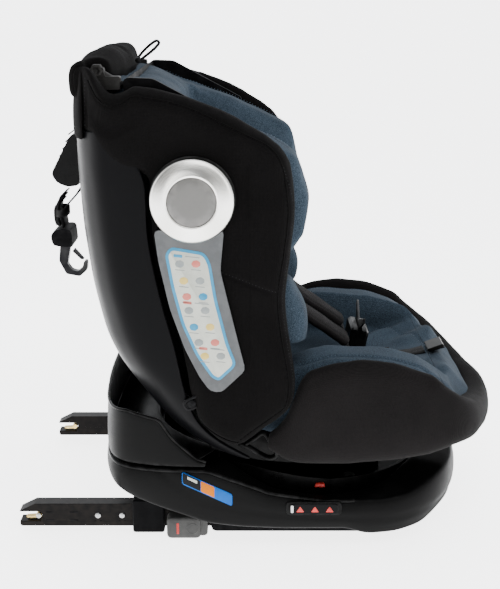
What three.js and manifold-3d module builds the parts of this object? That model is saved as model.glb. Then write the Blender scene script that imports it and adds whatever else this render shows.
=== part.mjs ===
// Convertible car seat on a swivelling anchored base. Millimetres, +Z up.
// Origin: the foot of the swivel axis on the floor. The seat faces -Y.
import * as THREE from 'three';
import { mergeVertices } from 'three/addons/utils/BufferGeometryUtils.js';
import Module from 'manifold-3d';

const wasm = await Module();
wasm.setup();

// ---------- driving dimensions ----------
const GAP = 0.35;

const BASE = { halfWidth: 190, top: 96, dishRadius: 172, dishFloor: 36, dishSkin: 4, wall: 5 };
const TRAY = { halfWidth: 123, bottom: 2.8, top: 8.8 };
const ARM = { centre: 140, width: 18, bottom: 7, top: 35, tip: 317, inner: 25, bar: 138, barHeight: 21 };
const RACE = { inner: 118, outer: 152, bottom: 40.35, top: 46, grooveIn: 129, grooveOut: 141 };
const DISC = { bore: 13, outer: 162, bottom: 46.6, top: 54 };
const RECLINE = { y: 0, z: 350, rail: 272, runner: 271, pan: 261, seatLimit: 250 };
const SEAT = { halfWidth: 212, wingInner: 172, sideInner: 166.5, sideOuter: 205, padHalf: 163, panHalf: 155 };
const PROTECTOR = { y: 108, z: 404, radius: 43.5, cap: 25, foot: 212.4, rim: 229, crown: 235.5 };

// ---------- looks ----------
const LOOKS = {
  gloss: { color: 0x141417, roughness: 0.22, metalness: 0 },
  matte: { color: 0x232326, roughness: 0.55, metalness: 0 },
  fabric: { color: 0x1a1a1b, roughness: 0.95, metalness: 0 },
  blue: { color: 0x3f4d59, roughness: 0.95, metalness: 0 },
  pad: { color: 0x2a2c2e, roughness: 0.9, metalness: 0 },
  strap: { color: 0x161618, roughness: 0.85, metalness: 0 },
  rubber: { color: 0x1b1b1b, roughness: 0.9, metalness: 0 },
  steel: { color: 0x8d9094, roughness: 0.35, metalness: 1 },
  darkSteel: { color: 0x1d1c1d, roughness: 0.45, metalness: 0.7 },
  brass: { color: 0xb59a4a, roughness: 0.35, metalness: 1 },
  silver: { color: 0xb6b5ae, roughness: 0.28, metalness: 1 },
  grey: { color: 0x6e6e6d, roughness: 0.5, metalness: 0 },
  panel: { color: 0x5f6163, roughness: 0.5, metalness: 0 },
  red: { color: 0xb3201c, roughness: 0.45, metalness: 0 },
  window: { color: 0x0d0d0e, roughness: 0.15, metalness: 0 },
};

// ---------- shape helpers ----------
function outline(points, roundness = 0) {
  const shape = new THREE.Shape();
  const vectors = points.map(([a, b]) => new THREE.Vector2(a, b));
  if (!roundness) {
    shape.setFromPoints(vectors);
    return shape;
  }
  const count = vectors.length;
  vectors.forEach((corner, i) => {
    const before = vectors[(i + count - 1) % count];
    const after = vectors[(i + 1) % count];
    const back = Math.min(roundness, corner.distanceTo(before) / 2.2);
    const ahead = Math.min(roundness, corner.distanceTo(after) / 2.2);
    const entry = corner.clone().add(before.clone().sub(corner).setLength(back));
    const exit = corner.clone().add(after.clone().sub(corner).setLength(ahead));
    if (i === 0) {
      shape.moveTo(entry.x, entry.y);
    } else {
      shape.lineTo(entry.x, entry.y);
    }
    shape.quadraticCurveTo(corner.x, corner.y, exit.x, exit.y);
  });
  shape.closePath();
  return shape;
}

function prism(shape, low, high, bevel, segments, basis) {
  const geometry = new THREE.ExtrudeGeometry(shape, {
    depth: high - low - 2 * bevel,
    bevelEnabled: bevel > 0,
    bevelThickness: bevel,
    bevelSize: bevel,
    bevelOffset: -bevel,
    bevelSegments: 1,
    curveSegments: segments,
  });
  geometry.translate(0, 0, low + bevel);
  geometry.applyMatrix4(basis);
  return geometry;
}

const AXIS = { x: [1, 0, 0], y: [0, 1, 0], z: [0, 0, 1], back: [0, -1, 0] };

function basisOf(u, v, w) {
  const axes = [u, v, w].map((name) => new THREE.Vector3(...AXIS[name]));
  return new THREE.Matrix4().makeBasis(...axes);
}

// outline in (y, z), run from x = low to high
function prismX(shape, low, high, bevel = 0, segments = 2) {
  return prism(shape, low, high, bevel, segments, basisOf('y', 'z', 'x'));
}

// outline in (x, z), run from y = low to high
function prismY(shape, low, high, bevel = 0, segments = 2) {
  return prism(shape, -high, -low, bevel, segments, basisOf('x', 'z', 'back'));
}

// outline in (x, y), run from z = low to high
function prismZ(shape, low, high, bevel = 0, segments = 2) {
  return prism(shape, low, high, bevel, segments, basisOf('x', 'y', 'z'));
}

function sideways(shape, side, low, high, bevel = 0, segments = 2) {
  return side > 0
    ? prismX(shape, low, high, bevel, segments)
    : prismX(shape, -high, -low, bevel, segments);
}

function box(x0, x1, y0, y1, z0, z1) {
  const geometry = new THREE.BoxGeometry(Math.abs(x1 - x0), y1 - y0, z1 - z0);
  geometry.translate((x0 + x1) / 2, (y0 + y1) / 2, (z0 + z1) / 2);
  return geometry;
}

// profile of (radius, height) about the Z axis
function turned(profile, segments = 48) {
  const geometry = new THREE.LatheGeometry(
    profile.map(([r, h]) => new THREE.Vector2(r, h)),
    segments,
  );
  geometry.rotateX(Math.PI / 2);
  return geometry;
}

// profile of (radius, outward distance) about an X axis through (y, z)
function turnedSide(profile, side, y, z, segments = 24) {
  const geometry = turned(profile, segments);
  geometry.rotateY((side * Math.PI) / 2);
  geometry.translate(0, y, z);
  return geometry;
}

function rod(radius, low, high) {
  return [[0, low], [radius, low], [radius, high], [0, high]];
}

function tubeProfile(inner, outer, low, high) {
  return [[inner, low], [outer, low], [outer, high], [inner, high], [inner, low]];
}

// closed ring of a strip that follows a centre line in (y, z)
function band(path, thickness) {
  const points = path.map(([a, b]) => new THREE.Vector2(a, b));
  const left = [];
  const right = [];
  points.forEach((point, i) => {
    const before = points[Math.max(i - 1, 0)];
    const after = points[Math.min(i + 1, points.length - 1)];
    const along = after.clone().sub(before).normalize();
    const across = new THREE.Vector2(-along.y, along.x).multiplyScalar(thickness / 2);
    left.push(point.clone().add(across));
    right.unshift(point.clone().sub(across));
  });
  const shape = new THREE.Shape();
  shape.setFromPoints([...left, ...right]);
  return shape;
}

function arcPoints(radius, from, to, steps, y = RECLINE.y, z = RECLINE.z) {
  return Array.from({ length: steps + 1 }, (_, i) => {
    const angle = THREE.MathUtils.degToRad(from + ((to - from) * i) / steps);
    return [y + radius * Math.sin(angle), z - radius * Math.cos(angle)];
  });
}

// closed skin over rings of equal point count, each ring level in z
function loft(rings) {
  const count = rings[0].length;
  const positions = rings.flat().flatMap((p) => [p.x, p.y, p.z]);
  const index = [];
  for (let r = 0; r < rings.length - 1; r += 1) {
    for (let i = 0; i < count; i += 1) {
      const a = r * count + i;
      const b = r * count + ((i + 1) % count);
      index.push(a, b, b + count, a, b + count, a + count);
    }
  }
  const capOf = (ring) => THREE.ShapeUtils.triangulateShape(
    ring.map((p) => new THREE.Vector2(p.x, p.y)),
    [],
  );
  capOf(rings[0]).forEach(([a, b, c]) => index.push(a, c, b));
  const last = (rings.length - 1) * count;
  capOf(rings[rings.length - 1]).forEach(([a, b, c]) => index.push(last + a, last + b, last + c));
  const geometry = new THREE.BufferGeometry();
  geometry.setAttribute('position', new THREE.Float32BufferAttribute(positions, 3));
  geometry.setIndex(index);
  return geometry;
}

// ---------- booleans ----------
function solid(geometry) {
  const bare = geometry.clone();
  ['normal', 'uv'].forEach((name) => bare.deleteAttribute(name));
  const merged = mergeVertices(bare, 1e-4);
  return new wasm.Manifold(new wasm.Mesh({
    numProp: 3,
    vertProperties: new Float32Array(merged.attributes.position.array),
    triVerts: new Uint32Array(merged.index.array),
  }));
}

function shapeOfSolid(manifold) {
  const mesh = manifold.getMesh();
  const geometry = new THREE.BufferGeometry();
  geometry.setAttribute('position', new THREE.Float32BufferAttribute(mesh.vertProperties, 3));
  geometry.setIndex(Array.from(mesh.triVerts));
  geometry.computeVertexNormals();
  return geometry;
}

function cut(geometry, ...tools) {
  return shapeOfSolid(tools.reduce((body, tool) => body.subtract(solid(tool)), solid(geometry)));
}

function join(first, ...others) {
  return shapeOfSolid(others.reduce((body, other) => body.add(solid(other)), solid(first)));
}

function common(first, second) {
  return shapeOfSolid(solid(first).intersect(solid(second)));
}

// ---------- assembly ----------
const group = new THREE.Group();

function add(name, geometry, look) {
  const mesh = new THREE.Mesh(geometry, new THREE.MeshStandardMaterial(LOOKS[look]));
  mesh.name = name;
  group.add(mesh);
}

const SIDES = [['left', -1], ['right', 1]];

function addPair(name, make, look) {
  SIDES.forEach(([label, side]) => add(`${name}_${label}`, make(side), look));
}

// ---------- base ----------
function casingPlan(inset) {
  const w = BASE.halfWidth - inset;
  const front = [[0, -205 + inset], [-70, -200 + inset], [-120, -186 + inset * 0.9]];
  const corner = [[-158, -158 + inset * 0.7], [-180 + inset, -118], [-w, -60]];
  const rear = [[-w, 110], [-185 + inset, 160], [-168 + inset, 200 - inset * 0.7]];
  const tail = [[-130, 216 - inset], [-60, 222 - inset], [0, 223 - inset]];
  const half = [...front, ...corner, ...rear, ...tail];
  const mirrored = half.slice(1, -1).reverse().map(([x, y]) => [-x, y]);
  return outline([...half, ...mirrored]);
}

function casingSide(inset) {
  const top = BASE.top - inset;
  const under = inset ? -20 : 0;
  return outline([
    [-230, 30 + under], [-172, 28 + under], [-150, 12 + under], [-118, 4 + under],
    [-82, 4 + under], [-60, 22 + under], [13, 22 + under], [60, 24 + under],
    [96, 28.6 + under], [142, 44 + under], [186, 57 + under], [240, 72 + under],
    [240, top], [96, top], [69, 84 - inset], [27, 66 - inset], [-34, 57 - inset],
    [-104, 56 - inset], [-139, 60 - inset], [-165, 70 - inset], [-230, 74 - inset],
  ]);
}

function baseCasing() {
  const w = BASE.halfWidth + 5;
  const body = common(prismX(casingSide(0), -w, w), prismZ(casingPlan(0), 0, 120));
  const dish = turned(rod(BASE.dishRadius, BASE.dishFloor + BASE.dishSkin, 130), 48);
  const inner = common(prismX(casingSide(BASE.wall), -w, w), prismZ(casingPlan(BASE.wall), -30, 120));
  const dishShell = turned(rod(BASE.dishRadius + BASE.wall, BASE.dishFloor, 130), 40);
  const cavity = cut(inner, dishShell);
  const bore = turned(rod(13, 0, 60), 24);
  return cut(body, dish, cavity, bore);
}

function trayPlan(inset = 0) {
  const w = TRAY.halfWidth - inset;
  return outline([
    [-w, -120], [-90, -168 + inset], [90, -168 + inset],
    [w, -120], [w, 190 - inset], [-w, 190 - inset],
  ], 12);
}

function floorTray() {
  return prismZ(trayPlan(), TRAY.bottom, TRAY.top);
}

function antiSlipMat() {
  return prismZ(trayPlan(6), 0, TRAY.bottom - GAP);
}

function swivelRace() {
  const { inner, outer, bottom, top, grooveIn, grooveOut } = RACE;
  const floor = bottom + 1.8;
  return turned([
    [inner, bottom], [outer, bottom], [outer, top], [grooveOut, top],
    [grooveOut, floor], [grooveIn, floor], [grooveIn, top], [inner, top], [inner, bottom],
  ], 32);
}

function kingPin() {
  const foot = TRAY.top + GAP;
  return turned([[0, foot], [26, foot], [26, foot + 6], [12.4, foot + 6], [12.4, 64], [0, 64]], 16);
}

function kingNut() {
  const low = DISC.top + 0.5;
  const hexagon = turned(rod(20, low, 62), 6);
  return cut(hexagon, turned(rod(12.8, low - 5, 70), 16));
}

function sideRail(side) {
  const shape = outline([[-104, 5], [94, 5], [94, 27], [-60, 27], [-104, 14]], 6);
  return sideways(shape, side, 151.5, 158, 0);
}

function anchorSleeve(side) {
  const shape = outline([[148, 2.2], [185, 2.2], [185, 43], [148, 43]], 3);
  const body = sideways(shape, side, 124, 157, 1.5);
  const half = ARM.width / 2 + 0.6;
  const low = side * ARM.centre - half;
  return cut(body, box(low, low + 2 * half, 130, 200, ARM.bottom - 0.6, ARM.top + 0.6));
}

function positionWindow(side) {
  const shape = outline([[-50, 43], [4, 43], [4, 55], [-50, 55]], 4);
  return sideways(shape, side, BASE.halfWidth + GAP, BASE.halfWidth + 2.4, 0.6);
}

add('base_casing', baseCasing(), 'matte');
add('floor_tray', floorTray(), 'matte');
add('anti_slip_mat', antiSlipMat(), 'rubber');
add('swivel_race', swivelRace(), 'steel');
add('king_pin', kingPin(), 'steel');
add('king_nut', kingNut(), 'steel');
addPair('side_rail', sideRail, 'matte');
addPair('anchor_sleeve', anchorSleeve, 'matte');
addPair('position_window', positionWindow, 'window');

// ---------- anchor frame ----------
const PAWL = { y: 295, z: 20, hub: 3.4, reach: 14 };
const SLOT = { low: 13.2, high: 25.2 };

function anchorArm(side) {
  const { tip, inner, bottom, top, centre, width } = ARM;
  const shape = outline([
    [inner, bottom], [tip - 2, bottom], [tip, bottom + 2], [tip, top - 9],
    [tip - 18, top], [inner, top],
  ]);
  const slot = sideways(outline([
    [PAWL.y - 2.5, SLOT.low], [tip + 5, SLOT.low], [tip + 5, SLOT.high], [PAWL.y - 2.5, SLOT.high],
  ]), side, centre - 20, centre + 20);
  const pocket = turnedSide(rod(PAWL.hub + 1.4, centre - 20, centre + 20), side, PAWL.y, PAWL.z, 16);
  const arm = sideways(shape, side, centre - width / 2, centre + width / 2);
  const socket = turned(rod(8.4, 0, width / 2), 16);
  socket.rotateY((-side * Math.PI) / 2);
  socket.translate(side * centre, ARM.bar, ARM.barHeight);
  return cut(arm, slot, pocket, socket);
}

function anchorCrossbar() {
  const half = ARM.centre - GAP;
  const bar = turned(rod(8, -half, half), 16);
  bar.rotateY(Math.PI / 2);
  bar.translate(0, ARM.bar, ARM.barHeight);
  return bar;
}

function pawl(side) {
  const { y, z, hub, reach } = PAWL;
  const half = ARM.width / 2;
  const pivot = turnedSide(rod(hub, ARM.centre - half, ARM.centre + half), side, y, z, 12);
  const finger = sideways(outline([
    [y - 1, z - 5.4], [y + reach, z - 6], [y + reach + 1.5, z - 3.4], [y + 3, z - 2.6],
    [y + 2, z], [y - 1, z],
  ]), side, ARM.centre - 3.5, ARM.centre + 3.5);
  return join(pivot, finger);
}

function releaseGrip(side) {
  const body = sideways(outline([[106, 1.5], [144, 1.5], [144, 28], [106, 28]], 5), side, 155.4, 172, 2.5);
  const nose = sideways(outline([[98, 3.5], [110, 3.5], [110, 26], [98, 26]], 4), side, 155.4, 169, 2);
  return join(body, nose);
}

addPair('anchor_arm', anchorArm, 'darkSteel');
add('anchor_crossbar', anchorCrossbar(), 'steel');
addPair('anchor_pawl', pawl, 'brass');
addPair('release_grip', releaseGrip, 'grey');

// ---------- turntable ----------
const LOCK = { radius: 135, angle: 210, pin: 4 };

function lockCentre() {
  const angle = THREE.MathUtils.degToRad(LOCK.angle);
  return [LOCK.radius * Math.cos(angle), LOCK.radius * Math.sin(angle)];
}

function turntable() {
  const plate = turned(tubeProfile(DISC.bore, DISC.outer, DISC.bottom, DISC.top), 48);
  const collar = turned(tubeProfile(DISC.outer - 4, DISC.outer, DISC.bottom + 1, 87), 48);
  const above = prismX(outline([
    [-180, 60], [-40, 70], [60, 88], [60, 120], [-180, 120],
  ]), -180, 180);
  const hole = turned(rod(LOCK.pin + 0.6, 30, 80), 12);
  const [x, y] = lockCentre();
  hole.translate(x, y, 0);
  const dish = join(plate, cut(collar, above), ...SIDES.map(([, side]) => reclineRib(side)));
  return cut(dish, hole);
}

function lockPin() {
  const pin = turned([
    [0, 42.6], [LOCK.pin, 42.6], [LOCK.pin, 54.6], [7, 54.6], [7, 59], [0, 59],
  ], 12);
  const [x, y] = lockCentre();
  pin.translate(x, y, 0);
  return pin;
}

function reclineRib(side) {
  const top = arcPoints(RECLINE.rail, 21, -23, 8);
  const shape = outline([...top, [-106, DISC.top - 1], [97, DISC.top - 1]]);
  return sideways(shape, side, 60, 84);
}

function turntableSkirt() {
  const sideProfile = outline([
    [97, 97.5], [240, 97.5], [240, 160], [212, 157], [188, 160], [150, 152],
    [136, 131], [109, 107], [97, 103],
  ]);
  const body = common(prismZ(casingPlan(2), 97.5, 200), prismX(sideProfile, -200, 200));
  const hollow = common(
    prismZ(casingPlan(8), 101.5, 220),
    prismX(outline([[60, 101.5], [260, 101.5], [260, 220], [60, 220]]), -220, 220),
  );
  const wall = cut(body, hollow);
  const well = turned(rod(163.5, 50, 220), 48);
  const collar = common(
    turned(tubeProfile(163.5, 168.5, 58, 101.5), 48),
    box(-220, 220, 97, 240, 40, 120),
  );
  return join(cut(wall, well), collar);
}

add('turntable', turntable(), 'gloss');
add('swivel_lock_pin', lockPin(), 'steel');
add('turntable_skirt', turntableSkirt(), 'matte');

// ---------- seat shell ----------
// level, front edge, rear face, half width of the plastic back shell
const SHELL_LEVELS = [
  [104, 40, 112, 188], [128, 82, 138, 196], [150, 111, 158, 201], [186, 122, 180, 207],
  [245, 132, 200, 211], [300, 147, 213, 212], [363, 161, 224, 212], [428, 161, 233, 212],
  [433, 193, 233.5, 212], [449, 207, 235, 211.5], [468, 221, 236, 211],
];
const SHELL_WALL = 5;

function shellCurve(front, rear, half) {
  const start = rear - 78;
  const steps = 24;
  const points = [];
  for (let i = 0; i <= steps; i += 1) {
    const angle = Math.PI - (Math.PI * i) / steps;
    const x = half * Math.sign(Math.cos(angle)) * Math.abs(Math.cos(angle)) ** 0.55;
    const y = start + (rear - start) * Math.abs(Math.sin(angle)) ** 0.75;
    points.push([x, y]);
  }
  const kept = points.filter(([, y]) => y > front + 1);
  const cornerX = (y) => {
    const t = Math.min(Math.max((y - start) / (rear - start), 0), 1);
    return half * Math.sqrt(1 - t ** (2 / 0.75)) ** 0.55;
  };
  const edge = cornerX(front);
  return [[-edge, front], ...kept, [edge, front]];
}

function resample(points, count) {
  const path = new THREE.CurvePath();
  for (let i = 0; i < points.length - 1; i += 1) {
    path.add(new THREE.LineCurve(
      new THREE.Vector2(...points[i]),
      new THREE.Vector2(...points[i + 1]),
    ));
  }
  return path.getSpacedPoints(count);
}

function shellRing([z, front, rear, half]) {
  const outer = resample(shellCurve(front, rear, half), 20);
  const inner = resample(shellCurve(front, rear - SHELL_WALL, half - SHELL_WALL), 20).reverse();
  return [...outer, ...inner].map((p) => new THREE.Vector3(p.x, p.y, z));
}

function belowSeatLimit() {
  const arc = arcPoints(RECLINE.seatLimit, 53, -24, 14);
  const shape = outline([...arc, [-101, 60], [250, 60], [250, 199.5]]);
  return prismX(shape, -230, 230);
}

function backShell() {
  const skin = loft(SHELL_LEVELS.map(shellRing).map((ring) => ring.reverse()));
  return cut(skin, belowSeatLimit());
}

function reclineRunner(side) {
  const low = arcPoints(RECLINE.runner, 20, -22, 8);
  const high = arcPoints(RECLINE.pan - 2, -22, 20, 8);
  return sideways(outline([...low, ...high]), side, 60, 84);
}

function seatPan() {
  const under = arcPoints(RECLINE.pan, 21, -31, 8);
  const shape = outline([
    ...under, [-160, 120], [-200, 119], [-200, 126], [-160, 134], [-60, 126], [60, 124], [98, 128],
  ]);
  const pan = prismX(shape, -SEAT.panHalf, SEAT.panHalf);
  return join(pan, ...SIDES.map(([, side]) => reclineRunner(side)));
}

// rounded edge of the padded wing, from its top rear round the front to its rear seam
const WING_FRONT = [
  [232, 539], [176, 535], [139, 517], [100, 501], [50, 480], [22, 465], [7, 450], [0, 413],
  [-1, 382], [3, 345], [9, 297], [5, 255], [-3, 200], [0, 172], [14, 157], [37, 141], [56, 124],
];
const WING_REAR = [
  [80, 132], [103, 152], [114.5, 186], [125, 245], [140, 300], [154, 358], [155, 430],
  [182, 432], [198, 450], [213, 471], [234, 473], [237, 505],
];

function wingCover(side) {
  const shape = outline([...WING_FRONT, ...WING_REAR], 12);
  return sideways(shape, side, SEAT.wingInner, SEAT.halfWidth, 6);
}

function topRoll() {
  const shape = outline([
    [191, 503], [234, 500], [234, 546], [210, 557], [190, 553],
  ], 12);
  const roll = prismX(shape, -SEAT.wingInner + GAP, SEAT.wingInner - GAP, 4);
  const notches = SIDES.map(([, side]) => box(side * 147, side * 200, 180, 217, 490, 580));
  return cut(roll, ...notches);
}

function backPad() {
  const front = [[185, 502], [184.5, 497], [154, 304], [86, 300], [64, 140]];
  const middle = outline([
    [104, 140], [150, 175], [174, 215], [196, 280], [209, 363], [218, 432], [226, 497], ...front,
  ]);
  const flank = outline([
    [84, 140], [118, 175], [140, 215], [160, 280], [172, 363], [187, 432], [195, 497], ...front,
  ]);
  return join(prismX(middle, -116, 116), prismX(flank, -SEAT.padHalf, SEAT.padHalf));
}

add('seat_pan', seatPan(), 'gloss');
add('back_shell', backShell(), 'gloss');
addPair('wing_cover', wingCover, 'fabric');
add('top_roll', topRoll(), 'fabric');
add('back_pad', backPad(), 'fabric');

// ---------- seat soft goods ----------
function seatSide(side) {
  const shape = outline([
    [-8, 207], [-73, 222], [-111, 217], [-154, 202], [-208, 170], [-206, 150],
    [-174, 129], [-147, 115], [-114, 107], [-60, 102], [0, 101], [27, 136], [-4, 160],
  ], 14);
  return sideways(shape, side, SEAT.sideInner, SEAT.sideOuter, 4);
}

function seatFront() {
  const plan = outline([
    [-165, -205], [-160, -209], [-120, -229], [-60, -245], [0, -250],
    [60, -245], [120, -229], [160, -209], [165, -205], [165, -201.5], [-165, -201.5],
  ]);
  const profile = outline([
    [-201, 106], [-232, 104], [-252, 116], [-258, 150], [-240, 182], [-215, 194], [-201, 196],
  ], 8);
  return common(prismZ(plan, 90, 210), prismX(profile, -170, 170));
}

function seatCushion() {
  const profile = outline([
    [45, 130], [45, 196], [-7, 219], [-49, 229], [-93, 227], [-137, 217], [-170, 203],
    [-200, 186], [-200, 138], [-160, 136], [-60, 128],
  ], 12);
  const block = prismX(profile, -SEAT.padHalf, SEAT.padHalf, 5);
  const well = prismX(outline([
    [80, 168], [0, 160], [-80, 160], [-150, 168], [-185, 178], [-215, 196], [-215, 260], [80, 260],
  ]), -112, 112);
  return cut(block, well);
}

function bodyInsert() {
  const plan = outline([
    [-162, -6], [-150, -12], [-112, -8], [-104, 10], [-98, 44], [-80, 52], [80, 52], [98, 44],
    [104, 10], [112, -8], [150, -12], [162, -6], [162, 66], [-162, 66],
  ], 6);
  const body = prismZ(plan, 0, 128, 3);
  body.applyMatrix4(new THREE.Matrix4().makeRotationX(-THREE.MathUtils.degToRad(6)));
  body.translate(0, 0, 178);
  const seatClearance = box(-200, 200, -100, 46, 100, 231);
  const corner = common(seatClearance, box(-170, 170, -100, 46, 150, 231));
  return cut(body, corner);
}

add('seat_cushion', seatCushion(), 'blue');
addPair('seat_side', seatSide, 'fabric');
add('seat_front', seatFront(), 'fabric');
add('body_insert', bodyInsert(), 'blue');

// ---------- side protection and label panel ----------
function sideProtector(side) {
  const { y, z, radius, cap, foot, rim, crown } = PROTECTOR;
  return turnedSide([
    [0, foot], [radius, foot], [radius, rim - 4], [radius - 3.5, rim], [cap + 4, crown],
    [cap, crown], [cap, crown - 2], [0, crown - 2],
  ], side, y, z, 32);
}

function labelPanel(side) {
  const { y, z, radius, foot } = PROTECTOR;
  const shape = outline([
    [148, 372], [144, 340], [133, 289], [118, 245], [103, 214], [92, 198], [80, 196],
    [54, 221], [60, 245], [73, 299], [80, 329], [76, 372],
  ], 5);
  const plate = sideways(shape, side, foot, foot + 4);
  const disc = turnedSide(rod(radius + 0.8, foot - 5, foot + 20), side, y, z, 32);
  return cut(plate, disc);
}

addPair('side_protector', sideProtector, 'silver');
addPair('label_panel', labelPanel, 'panel');

// ---------- harness ----------
function shoulderStrap(side) {
  const path = [[40, 318], [26, 296], [4, 272], [-22, 252], [-48, 228], [-66, 202], [-70, 196]];
  return sideways(band(path, 2.4), side, 24, 58);
}

function shoulderPad(side) {
  const path = [[20.5, 300.5], [0, 278.5], [-26.5, 257], [-53.5, 231], [-66, 214]];
  return sideways(band(path, 9), side, 17, 65, 2);
}

const BUCKLE = { y: -79, z: 171, lean: 10 };

function leant(geometry) {
  geometry.applyMatrix4(new THREE.Matrix4().makeRotationX(THREE.MathUtils.degToRad(BUCKLE.lean)));
  geometry.translate(0, BUCKLE.y, BUCKLE.z);
  return geometry;
}

function buckleHousing() {
  const body = prismY(outline([[-26, 0], [26, 0], [31, 40], [-31, 40]], 8), -11, 11, 3);
  const mouth = box(-29, 29, -2.4, 2.4, 26, 60);
  const button = box(-13, 13, -20, -4, 14, 34);
  return leant(cut(body, mouth, button));
}

function buckleButton() {
  const shape = outline([[-12.5, 14.5], [12.5, 14.5], [12.5, 33.5], [-12.5, 33.5]], 2);
  return leant(prismY(shape, -12.5, -6.5, 1));
}

function buckleTongue() {
  const half = [[0, 27], [25, 27], [25, 40], [46, 52], [44, 58], [0, 44]];
  const mirrored = half.slice(1, -1).reverse().map(([x, z]) => [-x, z]);
  return leant(prismY(outline([...half, ...mirrored]), -1.2, 1.2));
}

function crotchPad() {
  const path = [[-88, 163.5], [-110, 166], [-128, 169]];
  return prismX(band(path, 5), -26, 26, 1.5);
}

function adjusterStrap() {
  const path = [[-134, 168.6], [-152, 171], [-168, 175.4]];
  return prismX(band(path, 2.2), -13, 13);
}

addPair('shoulder_strap', shoulderStrap, 'strap');
addPair('shoulder_pad', shoulderPad, 'pad');
add('buckle_housing', buckleHousing(), 'matte');
add('buckle_button', buckleButton(), 'red');
add('buckle_tongue', buckleTongue(), 'steel');
add('crotch_pad', crotchPad(), 'pad');
add('adjuster_strap', adjusterStrap(), 'strap');

// ---------- controls on the seat ----------
function harnessAdjuster() {
  const shape = outline([[-193, 182.6], [-187, 180.9], [-172, 177], [-171, 180.5], [-190, 187.6]], 1.5);
  return prismX(shape, -16, 16, 0.6);
}

function reclineHandle() {
  const grip = prismX(outline([[-226, 97.5], [-198, 97.5], [-198, 103.4], [-226, 103.4]], 2.6), -48, 48, 1);
  const stem = box(-14, 14, -199, -150, 99.5, 103.2);
  return join(grip, stem);
}

function swivelLever(side) {
  const loop = sideways(outline([
    [16, 105], [30, 104], [46, 114], [60, 122.6], [52, 122.6], [36, 138.4], [33, 137.5], [24, 126],
  ], 3), side, 174, 186);
  const gap = outline([[27, 109.5], [32, 109.5], [43, 118.5], [36, 127], [30, 122]], 2);
  return cut(loop, sideways(gap, side, 160, 200));
}

add('harness_adjuster', harnessAdjuster(), 'matte');
add('recline_handle', reclineHandle(), 'grey');
add('swivel_lever', swivelLever(-1), 'gloss');

// ---------- belt guides in the shoulder recesses ----------
function beltGuide(side) {
  const shape = outline([
    [184, 510], [212, 510], [214, 533], [201, 533], [200, 524], [184, 524],
  ], 2);
  return sideways(shape, side, 150.5, 163.5);
}

addPair('belt_guide', beltGuide, 'grey');

// ---------- top tether and rear flap ----------
const TETHER = { x: -40, half: 19 };

function tetherBand(path, thickness, half = TETHER.half, bevel = 0) {
  return prismX(band(path, thickness), TETHER.x - half, TETHER.x + half, bevel);
}

function backFlap() {
  const shape = outline([
    [243.2, 455], [252, 453], [275, 409], [269, 399], [257, 394], [243.2, 396],
  ], 4);
  return prismX(shape, -78, 10);
}

function tetherStrap() {
  return tetherBand([[245, 390], [252, 380], [266, 364], [268, 352], [267, 343]], 2.2);
}

function tetherAdjuster() {
  const shape = outline([[256, 320], [279, 322], [282, 334], [276, 341.5], [258, 341.5]], 4);
  return prismX(shape, TETHER.x - 23, TETHER.x + 23);
}

function tetherHook() {
  const shape = outline([
    [262, 319], [274, 319], [276, 300], [268, 284], [252, 281], [243, 289], [242.4, 300],
    [246.4, 300], [248.5, 292], [254, 287], [261, 289], [266, 296], [264, 306],
  ], 2);
  return prismX(shape, TETHER.x - 5, TETHER.x + 5);
}

function tetherGate() {
  const shape = outline([[246.5, 301.5], [250, 301.5], [260, 311.5], [257.6, 314.5]], 0.8);
  return prismX(shape, TETHER.x - 4, TETHER.x + 4);
}

add('back_flap', backFlap(), 'matte');
add('tether_strap', tetherStrap(), 'strap');
add('tether_adjuster', tetherAdjuster(), 'matte');
add('tether_hook', tetherHook(), 'steel');
add('tether_gate', tetherGate(), 'steel');

// ---------- headrest ----------
const HEADREST = { half: 167, shell: 7, cheek: 112 };
const HEADREST_SIDE = [
  [150, 306], [184, 527], [150, 527], [86, 495], [36, 466], [-2, 440],
  [-11, 398], [-11, 353], [6, 306],
];

function headrestPad() {
  const inner = HEADREST.half - HEADREST.shell - GAP;
  const body = prismX(outline(HEADREST_SIDE, 12), -inner, inner, 5, 2);
  const hollow = prismX(outline([
    [-60, 250], [104, 250], [120, 420], [136, 600], [-60, 600],
  ]), -HEADREST.cheek, HEADREST.cheek, 12, 1);
  const back = prismX(outline([[137, 250], [250, 250], [250, 600], [187, 600]]), -300, 300);
  return cut(body, hollow, back);
}

function headrestFrame() {
  const side = outline([
    [149, 309], [181.4, 519], [177, 523], [150, 522], [90, 490], [60, 474], [60, 312],
  ], 4);
  const body = prismX(side, -HEADREST.half, HEADREST.half);
  const inner = HEADREST.half - HEADREST.shell;
  const front = prismX(outline([[-60, 200], [130.2, 200], [187.6, 600], [-60, 600]]), -inner, inner);
  return cut(body, front);
}

function pullLoop() {
  const outer = [[184, 529.5], [175, 528], [157, 541], [154, 553], [166, 555], [182, 540]];
  const inner = [[181, 532], [176, 531], [159.5, 543], [157.5, 550.5], [165, 552], [179.5, 538.5]];
  return cut(prismX(outline(outer, 3), -6, 6), prismX(outline(inner, 2), -20, 20));
}

add('headrest_frame', headrestFrame(), 'matte');
add('headrest_pad', headrestPad(), 'blue');
add('pull_loop', pullLoop(), 'strap');

export default group;
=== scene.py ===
"""A convertible car seat on a swivelling anchored base: its looks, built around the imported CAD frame.

Shapes are written in millimetres in the CAD frame: +Z up, the seat faces -Y, the swivel axis at x = y = 0.
"""

import math

import bmesh
import bpy
import numpy as np
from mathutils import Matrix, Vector, kdtree, noise
from mathutils.bvhtree import BVHTree


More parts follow.
